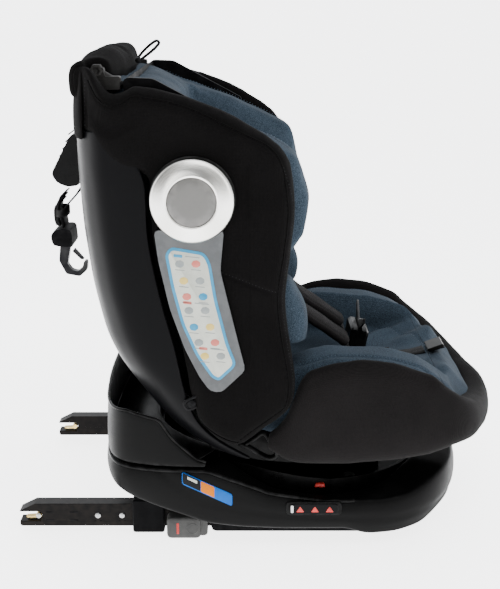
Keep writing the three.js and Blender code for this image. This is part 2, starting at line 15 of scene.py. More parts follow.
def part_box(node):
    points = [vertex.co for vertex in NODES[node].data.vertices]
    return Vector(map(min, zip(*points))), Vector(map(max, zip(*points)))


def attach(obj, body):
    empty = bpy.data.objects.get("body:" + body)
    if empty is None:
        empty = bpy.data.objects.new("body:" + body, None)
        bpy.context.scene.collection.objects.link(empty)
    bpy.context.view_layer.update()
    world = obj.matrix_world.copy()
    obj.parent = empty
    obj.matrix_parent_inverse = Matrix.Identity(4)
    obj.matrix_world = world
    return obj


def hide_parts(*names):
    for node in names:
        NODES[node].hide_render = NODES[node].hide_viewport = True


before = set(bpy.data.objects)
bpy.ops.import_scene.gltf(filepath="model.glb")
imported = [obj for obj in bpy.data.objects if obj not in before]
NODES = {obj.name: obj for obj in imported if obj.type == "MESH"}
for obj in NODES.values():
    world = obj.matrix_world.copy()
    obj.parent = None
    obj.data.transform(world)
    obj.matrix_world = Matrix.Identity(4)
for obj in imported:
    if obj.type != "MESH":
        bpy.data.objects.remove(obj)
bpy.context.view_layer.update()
MM = 0.001
SIDES = (("left", -1), ("right", 1))

# driving dimensions, from the frame
WING_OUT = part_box("wing_cover_right")[1].x / MM
WING_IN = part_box("wing_cover_right")[0].x / MM
DISC_LOW, DISC_HIGH = (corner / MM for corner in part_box("side_protector_right"))
DISC_Y = (DISC_LOW.y + DISC_HIGH.y) / 2
DISC_Z = (DISC_LOW.z + DISC_HIGH.z) / 2
DISC_RADIUS = (DISC_HIGH.z - DISC_LOW.z) / 2
DISC_CAP = 25  # radius of the cap in the disc's middle
BASE_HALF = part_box("base_casing")[1].x / MM
RACE_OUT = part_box("swivel_race")[1].x / MM
DISH_RADIUS = 172
TETHER_X = (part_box("tether_strap")[0].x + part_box("tether_strap")[1].x) / 2 / MM


# ---------- curves ----------
def curve(points, count, closed=False):
    """Points evenly spaced along a smooth line through the given ones."""
    p = np.array(points, float)
    if closed:
        p = np.vstack([p[-1:], p, p[:2]])
    else:
        p = np.vstack([2 * p[0] - p[1], p, 2 * p[-1] - p[-2]])
    t = np.linspace(0, 1, 16, endpoint=False)[:, None]
    parts = []
    for a, b, c, d in zip(p[:-3], p[1:-2], p[2:-1], p[3:]):
        cubic = (2 * a - 5 * b + 4 * c - d) * t**2 + (3 * b - a - 3 * c + d) * t**3
        parts.append(0.5 * (2 * b + (c - a) * t + cubic))
    fine = np.vstack([*parts, p[-2:-1]])
    travel = np.r_[0, np.cumsum(np.linalg.norm(np.diff(fine, axis=0), axis=1))]
    stops = np.linspace(0, travel[-1], count, endpoint=not closed)
    return np.stack([np.interp(stops, travel, fine[:, k]) for k in range(fine.shape[1])], 1)


def table_of(rows, at):
    """Straight-line values of the columns after the first, read at the first column's value."""
    rows = np.array(sorted(rows), float)
    return [np.interp(at, rows[:, 0], rows[:, k]) for k in range(1, rows.shape[1])]


def inset(outline, distance):
    """A closed outline moved inward all round."""
    y, z = outline.T
    area = np.sum(y * np.roll(z, -1) - np.roll(y, -1) * z)
    along = np.roll(outline, -1, 0) - np.roll(outline, 1, 0)
    along /= np.linalg.norm(along, axis=1)[:, None]
    inward = np.stack([-along[:, 1], along[:, 0]], 1) * np.sign(area)
    return outline + inward * np.broadcast_to(distance, len(outline))[:, None]


def rounded(corners, radius, steps=5):
    """An outline with its corners turned into arcs."""
    corners = np.array(corners, float)
    points = []
    for before, corner, after in zip(np.roll(corners, 1, 0), corners, np.roll(corners, -1, 0)):
        back, ahead = before - corner, after - corner
        reach = min(radius, np.linalg.norm(back) / 2.1, np.linalg.norm(ahead) / 2.1)
        start = corner + back / np.linalg.norm(back) * reach
        end = corner + ahead / np.linalg.norm(ahead) * reach
        for t in np.linspace(0, 1, steps):
            points.append((1 - t) ** 2 * start + 2 * t * (1 - t) * corner + t**2 * end)
    return np.array(points)


def rectangle(y0, z0, y1, z1):
    return [(y0, z0), (y1, z0), (y1, z1), (y0, z1)]


def plane_line(x, line, count):
    """A smooth line through (y, z) points, standing in the plane at x."""
    return [(x, y, z) for y, z in curve(line, count)]


# ---------- meshes ----------
def skin(rings, capped=True, wrap=True):
    """Points and faces of the skin over rings of equal length."""
    rings = [np.array(ring, float) for ring in rings]
    count = len(rings[0])
    faces = []
    for r in range(len(rings) - 1):
        for i in range(count if wrap else count - 1):
            a, b = r * count + i, r * count + (i + 1) % count
            faces.append((a, b, b + count, a + count))
    if capped:
        last = (len(rings) - 1) * count
        faces.append(tuple(range(count))[::-1])
        faces.append(tuple(range(last, last + count)))
    return np.vstack(rings), faces


def new_object(name, points, faces, material):
    """A mesh object from points in millimetres, its faces turned outward."""
    mesh = bpy.data.meshes.new(name)
    mesh.from_pydata((np.array(points) * MM).tolist(), [], faces)
    work = bmesh.new()
    work.from_mesh(mesh)
    bmesh.ops.recalc_face_normals(work, faces=work.faces)
    work.to_mesh(mesh)
    work.free()
    mesh.shade_smooth()
    mesh.materials.append(material)
    obj = bpy.data.objects.new(name, mesh)
    bpy.context.scene.collection.objects.link(obj)
    return obj


def settle(obj, body, slot, *nodes):
    """Puts a finished piece on its body and hides the CAD nodes that it stands for. The slot is not used."""
    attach(obj, body)
    if nodes:
        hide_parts(*nodes)
    return obj


def modifier(obj, kind, **settings):
    added = obj.modifiers.new(kind.lower(), kind)
    for name, value in settings.items():
        setattr(added, name, value)
    return added


def apply_all(obj):
    """Makes the object's modifiers part of its mesh."""
    shown = obj.evaluated_get(bpy.context.evaluated_depsgraph_get())
    mesh = bpy.data.meshes.new_from_object(shown)
    obj.modifiers.clear()
    obj.data = mesh
    mesh.shade_smooth()


def coordinates(obj):
    flat = np.zeros(len(obj.data.vertices) * 3)
    obj.data.vertices.foreach_get("co", flat)
    return flat.reshape(-1, 3) / MM


def place(obj, points):
    obj.data.vertices.foreach_set("co", (points * MM).ravel())
    obj.data.update()


def normals(obj):
    flat = np.zeros(len(obj.data.vertices) * 3)
    obj.data.vertices.foreach_get("normal", flat)
    return flat.reshape(-1, 3)


def frames(path):
    """Two cross directions at each point of a path, turned as little as possible along it."""
    path = np.array(path, float)
    along = np.gradient(path, axis=0)
    along /= np.linalg.norm(along, axis=1)[:, None]
    first = np.cross(along[0], (0.31, 0.17, 0.93))
    across = [first / np.linalg.norm(first)]
    for direction in along[1:]:
        kept = across[-1] - direction * (across[-1] @ direction)
        across.append(kept / np.linalg.norm(kept))
    across = np.array(across)
    return across, np.cross(along, across)


def tube(name, path, radius, material, sides=8):
    """A round bar or cord along a path, its ends closed."""
    u, v = frames(path)
    turn = np.linspace(0, 2 * math.pi, sides, endpoint=False)
    rings = [p + radius * (np.cos(turn)[:, None] * a + np.sin(turn)[:, None] * b)
             for p, a, b in zip(path, u, v)]
    return new_object(name, *skin(rings), material)


def ribbon(name, path, width, thickness, material, across=(1, 0, 0)):
    """A flat strap along a path, with soft edges. Across is its width's direction."""
    path = np.array(path, float)
    across = np.array(across, float)
    along = np.gradient(path, axis=0)
    up = np.cross(along, across)
    up /= np.linalg.norm(up, axis=1)[:, None]
    w, t = width / 2, thickness / 2
    section = [(-w, 0), (-w + t * 0.4, t), (-w * 0.3, t), (w * 0.3, t), (w - t * 0.4, t), (w, 0),
               (w - t * 0.4, -t), (w * 0.3, -t), (-w * 0.3, -t), (-w + t * 0.4, -t)]
    rings = [[p + a * across + b * n for a, b in section] for p, n in zip(path, up)]
    return new_object(name, *skin(rings), material)


def plate(name, outline, low, high, edge, material, turn):
    """A flat part with a rounded rim: its outline is laid out by turn(a, b, height)."""
    steps = [(0, 0, 0), (1, 0, 0), (1, 0.3, 0.7), (1, 1, 1)]
    rings = []
    for top, pull, rise in steps:
        height = low if not top else high - edge + edge * rise
        ring = inset(np.array(outline, float), edge * pull)
        rings.append([turn(a, b, height) for a, b in ring])
    return new_object(name, *skin(rings), material)


def facing(side):
    """Lays out an (y, z) outline on a side of the seat, its height running outward."""
    return lambda a, b, height: (side * height, a, b)


def joined(name, parts):
    """One object from several, which keep their own materials."""
    target = parts[0]
    with bpy.context.temp_override(active_object=target, selected_editable_objects=parts):
        bpy.ops.object.join()
    target.name = name
    return target


def turned(name, side, profile, material, y=DISC_Y, z=DISC_Z, count=96):
    """A part turned about an axis across the seat: (radius, outward distance) round (y, z)."""
    turn = np.linspace(0, 2 * math.pi, count, endpoint=False)
    rings = [np.column_stack([np.full(count, side * out), y + radius * np.cos(turn),
                              z + radius * np.sin(turn)]) for radius, out in profile]
    return new_object(name, *skin(rings), material)


def lathe(name, profile, material, count=96):
    """A part turned about the swivel axis: (radius, height)."""
    turn = np.linspace(0, 2 * math.pi, count, endpoint=False)
    rings = [np.column_stack([r * np.cos(turn), r * np.sin(turn), np.full(count, z)]) for r, z in profile]
    return new_object(name, *skin(rings, capped=False), material)


def badge(name, outline, low, high, edge, material, side, body, slot):
    """A flat piece on one side, from low to high millimetres out from the centre plane."""
    return settle(plate(name, outline, low, high, edge, material, facing(side)), body, slot)


# ---------- soft goods ----------
PRESSURE = 4
CLOTH_FRAMES = 20
THREAD_RADIUS = 0.45
THREAD_GAP = 0.45  # share of a stitch's pitch that shows no thread


def inflate(obj, cap):
    """Lets the closed mesh swell as stuffed cloth, moving no point further than cap millimetres."""
    start = coordinates(obj)
    cloth = modifier(obj, "CLOTH")
    cloth.settings.quality = 4
    cloth.settings.use_pressure = True
    cloth.settings.uniform_pressure_force = PRESSURE
    cloth.settings.effector_weights.gravity = 0
    scene = bpy.context.scene
    for step in range(1, CLOTH_FRAMES + 1):
        scene.frame_set(step)
    moved = coordinates(obj.evaluated_get(bpy.context.evaluated_depsgraph_get()))
    obj.modifiers.remove(cloth)
    scene.frame_set(1)
    change = moved - start
    length = np.linalg.norm(change, axis=1)[:, None]
    place(obj, start + change * np.minimum(1, cap / np.maximum(length, 1e-6)))


def stuffed(name, nodes, voxel, material, cap, shape=None, smooth=4, finish=None):
    """A padded piece that starts from the CAD solids of those nodes and is swollen by cloth simulation."""
    work = bmesh.new()
    for node in nodes:
        work.from_mesh(NODES[node].data)
    bmesh.ops.remove_doubles(work, verts=work.verts, dist=1e-5)
    mesh = bpy.data.meshes.new(name)
    work.to_mesh(mesh)
    work.free()
    mesh.materials.append(material)
    obj = bpy.data.objects.new(name, mesh)
    bpy.context.scene.collection.objects.link(obj)
    modifier(obj, "REMESH", mode="VOXEL", voxel_size=voxel * MM)
    modifier(obj, "SMOOTH", factor=0.5, iterations=smooth)
    apply_all(obj)
    if shape:
        place(obj, shape(coordinates(obj)))
    inflate(obj, cap)
    modifier(obj, "SUBSURF", levels=1, render_levels=1)
    apply_all(obj)
    obj.data.materials.clear()
    obj.data.materials.append(material)
    if finish:
        place(obj, finish(coordinates(obj)))
    return obj


def crease(obj, paths, width, depth):
    """Sinks a sewn channel into the surface along each path."""
    points = np.vstack(paths)
    tree = kdtree.KDTree(len(points))
    for i, point in enumerate(points):
        tree.insert(Vector(point), i)
    tree.balance()
    start, out = coordinates(obj), normals(obj)
    near = np.array([tree.find(Vector(p))[2] for p in start])
    place(obj, start - out * (depth * np.exp(-((near / width) ** 2)))[:, None])


def rumple(obj, size, amount, seed):
    """Slow uneven swells over a soft surface."""
    start, out = coordinates(obj), normals(obj)
    shift = Vector((seed, 0.37 * seed, -0.7 * seed))
    swell = [noise.noise(Vector(p / size) + shift) for p in start]
    place(obj, start + out * (amount * np.array(swell))[:, None])


def lie_on(obj, points, direction, lift=0.0):
    """The points moved along a direction until they meet the object's surface."""
    tree = BVHTree.FromObject(obj, bpy.context.evaluated_depsgraph_get())
    direction = Vector(direction)
    found = []
    for point in points:
        hit, normal, _, _ = tree.ray_cast((Vector(point) - direction * 300) * MM, direction)
        if hit is not None:
            found.append(np.array(hit) / MM + np.array(normal) * lift)
    return np.array(found)


def stitches(name, path, pitch, material):
    """A sewn line: one short thread after another along a path."""
    length = np.sum(np.linalg.norm(np.diff(path, axis=0), axis=1))
    line = curve(path, max(4, 2 * int(length / pitch)))
    points, faces = [], []
    turn = np.linspace(0, 2 * math.pi, 5, endpoint=False)
    for start, end in zip(line[:-1:2], line[1::2]):
        ends = [start + (end - start) * t for t in (THREAD_GAP / 2, 0.5, 1 - THREAD_GAP / 2)]
        u, v = frames(ends)
        rings = [p + THREAD_RADIUS * k * (np.cos(turn)[:, None] * a + np.sin(turn)[:, None] * b)
                 for p, a, b, k in zip(ends, u, v, (0.5, 1, 0.5))]
        these, sides = skin(rings)
        faces += [tuple(len(points) + i for i in face) for face in sides]
        points += these.tolist()
    return new_object(name, points, faces, material)


# ---------- materials ----------
def linear(*colour):
    channels = [c / 255 for c in colour]
    return (*[((c + 0.055) / 1.055) ** 2.4 if c > 0.04045 else c / 12.92 for c in channels], 1)


class Look:
    """A material being built: the principled shader with its procedural colour, gloss and relief."""

    def __init__(self, name, **fixed):
        self.material = bpy.data.materials.new(name)
        self.material.use_nodes = True
        self.tree = self.material.node_tree
        self.shader = self.tree.nodes["Principled BSDF"]
        self.place = self.node("ShaderNodeTexCoord").outputs["Object"]
        for socket, value in fixed.items():
            self.shader.inputs[socket.replace("_", " ")].default_value = value

    def node(self, kind, inputs=None, **settings):
        made = self.tree.nodes.new(kind)
        for name, value in settings.items():
            setattr(made, name, value)
        for key, value in (inputs or {}).items():
            if isinstance(value, bpy.types.NodeSocket):
                self.tree.links.new(value, made.inputs[key])
            else:
                made.inputs[key].default_value = value
        return made

    def noise(self, scale, detail=3, rough=0.55, stretch=None):
        where = self.place
        if stretch:
            where = self.node("ShaderNodeVectorMath", {0: where, 1: stretch}, operation="MULTIPLY").outputs[0]
        inputs = {"Vector": where, "Scale": scale, "Detail": detail, "Roughness": rough}
        return self.node("ShaderNodeTexNoise", inputs).outputs["Fac"]

    def maths(self, operation, a, b=0.0):
        return self.node("ShaderNodeMath", {0: a, 1: b}, operation=operation).outputs[0]

    def between(self, value, low, high, to_low=0.0, to_high=1.0):
        inputs = {"Value": value, "From Min": low, "From Max": high, "To Min": to_low, "To Max": to_high}
        return self.node("ShaderNodeMapRange", inputs).outputs[0]

    def blend(self, factor, a, b):
        mixed = self.node("ShaderNodeMix", {0: factor, 6: a, 7: b}, data_type="RGBA")
        return mixed.outputs[2]

    def weave(self, pitch):
        """A two-way thread pattern that shows on a surface of any direction."""
        turn = (2 * math.pi / (pitch * MM),) * 3
        phase = self.node("ShaderNodeVectorMath", {0: self.place, 1: turn}, operation="MULTIPLY")
        wave = self.node("ShaderNodeVectorMath", {0: phase.outputs[0]}, operation="SINE")
        x, y, z = self.node("ShaderNodeSeparateXYZ", {0: wave.outputs[0]}).outputs
        pairs = [self.maths("MULTIPLY", a, b) for a, b in ((x, y), (y, z), (z, x))]
        total = self.maths("ADD", self.maths("ADD", pairs[0], pairs[1]), pairs[2])
        return self.between(total, -1.5, 1.5)

    def edges(self, low, high):
        """Where the surface turns sharply outward, which is where it wears."""
        return self.between(self.node("ShaderNodeNewGeometry").outputs["Pointiness"], low, high)

    def relief(self, height, distance, strength=0.6, under=None):
        inputs = {"Height": height, "Distance": distance * MM, "Strength": strength}
        if under:
            inputs["Normal"] = under
        return self.node("ShaderNodeBump", inputs).outputs[0]

    def set(self, **sockets):
        for name, value in sockets.items():
            self.tree.links.new(value, self.shader.inputs[name.replace("_", " ")])
        return self.material


def cloth_look(name, dark, light, pitch, sheen, gloss, fleck=0.5):
    """Knitted polyester: flecked yarn, a fine weave, and broad soft changes of tone."""
    look = Look(name, Sheen_Weight=sheen, Sheen_Roughness=0.45, Specular_IOR_Level=gloss)
    weave = look.weave(pitch)
    yarn = look.noise(1100, 2, 0.7)
    broad = look.noise(16, 3)
    mixed = look.maths("ADD", look.maths("MULTIPLY", look.between(yarn, 0.3, 0.7), fleck),
                       look.maths("MULTIPLY", weave, 1 - fleck))
    tone = look.maths("ADD", mixed, look.between(broad, 0.3, 0.7, -0.08, 0.08))
    colour = look.blend(look.between(tone, 0.1, 0.95), linear(*dark), linear(*light))
    fluff = look.relief(yarn, 0.25, 0.5)
    bump = look.relief(weave, 0.35, 0.5, fluff)
    return look.set(Base_Color=colour, Roughness=look.between(yarn, 0.2, 0.8, 0.8, 0.98), Normal=bump)


def plastic_look(name, colour, worn, rough, grain, shine=0.3):
    """Moulded plastic: a fine spark-eroded grain, handling marks in the gloss, paler edges."""
    look = Look(name, Specular_IOR_Level=shine)
    smears = look.noise(22, 5, 0.65)
    scratch = look.noise(60, 4, 0.7, (1, 1, 9))
    wear = look.maths("MULTIPLY", look.edges(0.515, 0.56), look.between(look.noise(90, 4), 0.4, 0.6))
    tone = look.blend(look.between(smears, 0.3, 0.75, 0, 0.45), linear(*colour), linear(*worn))
    tone = look.blend(look.maths("MULTIPLY", wear, 0.6), tone, linear(*[c + 22 for c in worn]))
    gloss = look.maths("ADD", look.between(smears, 0.25, 0.8, rough * 0.8, rough * 1.25),
                       look.between(scratch, 0.55, 0.75, 0, 0.08))
    bump = look.relief(look.noise(2600, 2), grain, 0.5)
    return look.set(Base_Color=tone, Roughness=gloss, Normal=bump)


def metal_look(name, colour, worn, rough, stretch=(1, 1, 1), metallic=1.0):
    """Plated or coated steel with fine drawn lines, dull patches and bright edges."""
    look = Look(name, Metallic=metallic, Specular_IOR_Level=0.5 if metallic > 0.5 else 0.05)
    lines = look.noise(900, 3, 0.7, stretch)
    patches = look.noise(40, 4)
    wear = look.maths("MULTIPLY", look.edges(0.51, 0.56), look.between(look.noise(140, 4), 0.35, 0.6))
    dull = linear(*[c * 0.8 for c in colour])
    tone = look.blend(look.between(patches, 0.3, 0.8, 0, 0.5), linear(*colour), dull)
    tone = look.blend(wear, tone, linear(*worn))
    gloss = look.between(lines, 0.3, 0.7, rough * 0.75, rough * 1.3)
    return look.set(Base_Color=tone, Roughness=gloss, Normal=look.relief(lines, 0.03, 0.5))


RIB_PITCH = 1.5


def strap_look(name, colour, light):
    """Harness webbing: ribs along the strap, broken by the weft, with a dull shine."""
    look = Look(name, Sheen_Weight=0.04, Sheen_Roughness=0.4, Specular_IOR_Level=0.08)
    wave = {"Vector": look.place, "Scale": 1000 / RIB_PITCH / 6.28, "Distortion": 0.6}
    ribs = look.node("ShaderNodeTexWave", wave).outputs["Fac"]
    weft = look.maths("MULTIPLY", look.weave(1.1), 0.5)
    height = look.maths("ADD", look.maths("MULTIPLY", ribs, 0.6), weft)
    tone = look.blend(look.between(height, 0.2, 0.9), linear(*colour), linear(*light))
    rough = look.between(look.noise(700, 2), 0.3, 0.7, 0.55, 0.8)
    return look.set(Base_Color=tone, Roughness=rough, Normal=look.relief(height, 0.3, 0.6))


def spun_look(name, dark, light):
    """Spun aluminium: turning marks round the disc's own axis, which throw fan-shaped highlights; fan-shaped
    wedges of painted highlight and shade are also put into its colour.
    """
    look = Look(name, Metallic=1.0, Anisotropic=0.82)
    x, y, z = look.node("ShaderNodeSeparateXYZ", {0: look.place}).outputs
    dy = look.maths("SUBTRACT", y, DISC_Y * MM)
    dz = look.maths("SUBTRACT", z, DISC_Z * MM)
    radius = look.maths("SQRT", look.maths("ADD", look.maths("POWER", dy, 2), look.maths("POWER", dz, 2)))
    rings = look.node("ShaderNodeTexNoise", {"W": radius, "Scale": 2600, "Detail": 4}, noise_dimensions="1D")
    marks = rings.outputs["Fac"]
    # painted highlight and shade: four lighter and darker wedges round the disc's axis, mixed into the colour
    angle = look.maths("ARCTAN2", dz, dy)
    painted_fan_highlights = look.maths("SINE", look.maths("ADD", look.maths("MULTIPLY", angle, 4), 1.6))
    tone = look.maths("ADD", look.between(marks, 0.3, 0.7, 0, 0.5), look.between(painted_fan_highlights, -1, 1, 0, 0.5))
    colour = look.blend(tone, linear(*dark), linear(*light))
    tangent = look.node("ShaderNodeTangent", direction_type="RADIAL", axis="X").outputs[0]
    return look.set(Base_Color=colour, Roughness=look.between(marks, 0.3, 0.7, 0.22, 0.36),
                    Normal=look.relief(marks, 0.02, 0.4), Tangent=tangent)


def print_look(name, colour, faded, rough=0.35):
    """Ink on a film label: a slight mottle and a soft gloss."""
    look = Look(name, Specular_IOR_Level=0.08)
    tone = look.blend(look.between(look.noise(120, 4), 0.3, 0.75, 0, 0.8), linear(*colour), linear(*faded))
    gloss = look.between(look.noise(30, 3), 0.3, 0.7, rough * 0.8, rough * 1.2)
    return look.set(Base_Color=tone, Roughness=gloss, Normal=look.relief(look.noise(1500, 2), 0.02, 0.3))


BLACK_FABRIC = cloth_look("black_fabric", (3, 3, 3), (16, 15, 15), 1.4, 0.01, 0.02)
SEAT_FABRIC = cloth_look("seat_fabric", (7, 7, 7), (27, 25, 25), 1.4, 0.02, 0.04)
LINING = cloth_look("black_lining", (5, 5, 5), (17, 17, 18), 1.1, 0.01, 0.03)
BLUE_FABRIC = cloth_look("blue_fabric", (18, 24, 30), (64, 77, 89), 1.6, 0.03, 0.05, 0.8)
PAD_FABRIC = cloth_look("pad_fabric", (12, 11, 12), (34, 32, 32), 1.2, 0.02, 0.05)
THREAD = cloth_look("thread", (18, 18, 19), (50, 50, 52), 0.8, 0.02, 0.05)
BLUE_THREAD = cloth_look("blue_thread", (58, 70, 82), (100, 115, 130), 0.8, 0.03, 0.06)
WEBBING = strap_look("webbing", (4, 4, 5), (18, 18, 19))
SHELL = plastic_look("shell_plastic", (4, 4, 5), (9, 9, 10), 0.34, 0.05, 0.038)
CASING = plastic_look("base_plastic", (6, 6, 6), (13, 13, 13), 0.45, 0.10, 0.05)
TRIM = plastic_look("gloss_trim", (3, 3, 3), (7, 7, 7), 0.30, 0.02, 0.05)
INSIDE = plastic_look("inner_plastic", (4, 4, 5), (10, 10, 11), 0.55, 0.1, 0.03)
GREY = plastic_look("grip_grey", (50, 50, 50), (66, 66, 64), 0.45, 0.08, 0.15)
GUIDE = plastic_look("guide_grey", (24, 23, 22), (40, 39, 38), 0.45, 0.06, 0.1)
PANEL = plastic_look("panel_grey", (56, 58, 60), (72, 74, 75), 0.42, 0.06)
RED = plastic_look("button_red", (150, 14, 10), (176, 36, 26), 0.32, 0.04)
GLASS = plastic_look("window_black", (3, 3, 4), (7, 7, 8), 0.12, 0.01, 0.06)
RUBBER = plastic_look("mat_rubber", (12, 12, 12), (24, 24, 24), 0.8, 0.2, 0.1)
STEEL = metal_look("plated_steel", (150, 152, 154), (200, 200, 198), 0.32)
ARM_STEEL = metal_look("arm_steel", (12, 11, 11), (26, 23, 21), 0.4, (9, 1, 9), 0.15)
HOOK_STEEL = metal_look("hook_steel", (20, 20, 22), (44, 44, 44), 0.38)
BRASS = metal_look("pawl_brass", (186, 158, 92), (226, 206, 150), 0.3)
SILVER = spun_look("protector_silver", (205, 203, 196), (250, 249, 245))
CAP = plastic_look("protector_cap", (84, 83, 81), (98, 96, 94), 0.45, 0.05)
LABEL_BLUE = print_look("label_blue", (40, 112, 146), (62, 128, 158))
LABEL_WHITE = print_look("label_white", (158, 161, 152), (172, 174, 166))
LABEL_RED = print_look("label_red", (168, 92, 84), (176, 112, 102))
LABEL_GREY = print_look("label_grey", (112, 118, 118), (132, 136, 134))
LABEL_YELLOW = print_look("label_yellow", (178, 156, 84), (184, 164, 104))
LABEL_ORANGE = print_look("label_orange", (176, 92, 0), (184, 106, 2))
LABEL_CYAN = print_look("label_cyan", (0, 74, 150), (2, 86, 160))
LABEL_DARK = print_look("label_dark", (5, 6, 8), (12, 13, 16))


# ---------- shell and covers of the back ----------
# level, front edge, rear face, half width, depth of the rounded rear corner
SHELL_LEVELS = [
    (104, 40, 112, 188, 78), (116, 60, 125, 192, 78), (128, 82, 138, 196, 78), (150, 106, 158, 201, 78),
    (186, 117, 183, 207, 74), (215, 122, 203, 210, 70), (245, 127.5, 216, 211, 66),
    (300, 142, 228, 212, 62), (363, 154, 236, 212, 60), (428, 154, 239.5, 212, 56),
    (449, 170, 239.5, 211.5, 54), (474, 175, 239.5, 211, 52),
]
# the height of the recline's centre, and the radius round it that the seat's rear keeps inside
RECLINE_Z, SEAT_LIMIT = 350, 250
WING_FRONT = [
    (232, 539), (176, 535), (139, 517), (100, 501), (50, 480), (22, 465), (7, 450), (0, 413), (-1, 382),
    (3, 345), (9, 297), (5, 255), (-3, 200), (0, 172), (14, 157), (37, 141), (56, 124),
]
WING_TOP_CAD = [(7, 450), (22, 465), (50, 480), (100, 501), (139, 517), (176, 535), (232, 539)]
WING_TOP = [(7, 446), (19, 460), (30, 468), (44, 476), (61, 486), (79, 495), (99, 503), (112, 508),
            (129, 512),
            (149, 517), (167, 519), (183, 512), (191, 510), (199, 516), (207, 528), (214, 537), (236, 541)]
WING_REAR = [
    (80, 132), (103, 152), (114.5, 186), (125, 245), (140, 300), (154, 358), (155, 430),
    (182, 432), (198, 450), (213, 471), (234, 473), (237, 505),
]


def corner_line(half, rear, depth, front, count=33):
    """The shell's plan at one level: up one side, round the back and down the other."""
    steps = np.linspace(math.pi, 0, 97)
    x = half * np.sign(np.cos(steps)) * np.abs(np.cos(steps)) ** 0.55
    y = rear - depth + depth * np.abs(np.sin(steps)) ** 0.75
    line = np.stack([x, y], 1)
    line = line[line[:, 1] > front]
    line = np.vstack([[(line[0, 0], front)], line, [(line[-1, 0], front)]])
    return curve(line, count)


def back_shell():
    """The glossy plastic shell, its wall turned in along every edge."""
    levels = np.linspace(SHELL_LEVELS[0][0], SHELL_LEVELS[-1][0], 30)
    rings = []
    for z in levels:
        front, rear, half, depth = table_of(SHELL_LEVELS, z)
        ring = corner_line(half, rear, depth, front, 61)
        reach = np.hypot(ring[:, 1], z - RECLINE_Z)
        lifted = np.where((reach > SEAT_LIMIT) & (ring[:, 1] > 0) & (z < 200), SEAT_LIMIT / reach, 1)
        height = RECLINE_Z + (z - RECLINE_Z) * lifted
        rings.append(np.column_stack([ring[:, 0], ring[:, 1] * lifted, height]))
    points, faces = skin(rings, capped=False, wrap=False)
    shell = new_object("back_shell_skin", points, faces, SHELL)
    # a shallow flute runs down each rear corner
    start = coordinates(shell)
    side = np.exp(-(((np.abs(start[:, 0]) - 196) / 9) ** 2)) * np.clip((start[:, 2] - 130) / 60, 0, 1)
    place(shell, start - normals(shell) * (2.2 * side)[:, None] * np.sign(start[:, 1] - 60)[:, None])
    modifier(shell, "SMOOTH", factor=0.5, iterations=3)
    modifier(shell, "SOLIDIFY", thickness=4 * MM, offset=-1, use_even_offset=False)
    modifier(shell, "BEVEL", width=0.9 * MM, segments=2, angle_limit=math.radians(50))
    modifier(shell, "SUBSURF", levels=1, render_levels=1)
    apply_all(shell)
    return settle(shell, "seat", "shell_plastic", "back_shell")


def distance_to(line, points):
    """How far each (y, z) point is from a polyline."""
    dense = np.vstack([np.linspace(a, b, 12) for a, b in zip(line[:-1], line[1:])])
    return np.sqrt(((points[:, None, :] - dense[None, :, :]) ** 2).sum(2)).min(1)


def wing_form(points):
    """Rounds the wing's slab: a full roll along its front, a slim edge along its seam."""
    out = points.copy()
    side = np.sign(points[:, 0])
    plane = points[:, 1:]
    old, = table_of(WING_TOP_CAD, points[:, 1])
    top, = table_of(WING_TOP, points[:, 1])
    z = points[:, 2]
    out[:, 2] = np.where(z > 440, 440 + (z - 440) * (top - 440) / (old - 440), z)
    front = distance_to(np.array(WING_FRONT, float), plane)
    rear = distance_to(np.array(WING_REAR, float), plane)
    drop = np.zeros(len(points))
    for away, radius in ((front, 17), (rear, 3)):
        inside = np.clip(1 - away / radius, 0, 1)
        drop = np.maximum(drop, radius * (1 - np.sqrt(1 - inside**2)))
    behind = np.clip((points[:, 1] - 148) / 10, 0, 1) * np.clip((490 - points[:, 2]) / 15, 0, 1)
    outer = WING_OUT - 1.5 - drop
    # its rear follows the shell's round corner and stops where the rear panel starts
    low = np.clip((530 - points[:, 2]) / 40, 0, 1)
    reach = (31 - 10 * low) / 32
    out[:, 1] = np.where(points[:, 1] > 205, 205 + (points[:, 1] - 205) * reach, points[:, 1])
    turn = np.clip((out[:, 1] - 183) / 54, 0, 0.995) ** (1 / 0.75)
    outer = np.minimum(outer, np.maximum((WING_OUT - 1.5) * np.sqrt(1 - turn**2) ** 0.55, WING_IN + 6))
    outer += 3.2 * behind
    share = (np.abs(points[:, 0]) - WING_IN) / (WING_OUT - WING_IN)
    out[:, 0] = side * (WING_IN + 2 + share * (outer - WING_IN - 2))
    return out


def wing_limits(points):
    """Keeps the swollen wing off the headrest inside it and the plates screwed to its face."""
    out = points.copy()
    y, z = points[:, 1], points[:, 2]
    cap = np.where((y > 50) & (y < 155) & (z < 440), WING_OUT + 0.3, WING_OUT + 3)
    out[:, 0] = np.sign(points[:, 0]) * np.clip(np.abs(points[:, 0]), WING_IN - 3.5, cap)
    return out


SEAMS = {
    "edge": [(213, 522), (203, 505), (191, 498), (180, 500), (167, 507), (149, 505), (129, 501),
             (102, 492), (54, 469), (28, 455), (16, 436), (11, 405), (10, 382), (14, 345), (20, 297),
             (16, 255), (8, 205), (11, 178), (24, 166), (45, 150), (62, 136)],
    "edge_inner": [(15, 436), (6, 405), (5, 382), (9, 345), (15, 297), (11, 255), (3, 205),
                   (6, 176), (20, 161)],
    "panel": [(82, 326), (66, 320), (48, 313), (22, 303)],
    "rear": [(214, 525), (215, 512), (216, 495), (216, 476)],
    "low": [(113, 190), (110, 172), (100, 155), (80, 141), (62, 134)],
}


def on_wing(wing, side, line, lift=0.0):
    """A drawn line laid on the wing's outer face."""
    return lie_on(wing, plane_line(side * 200, line, 120), (-side, 0, 0), lift)


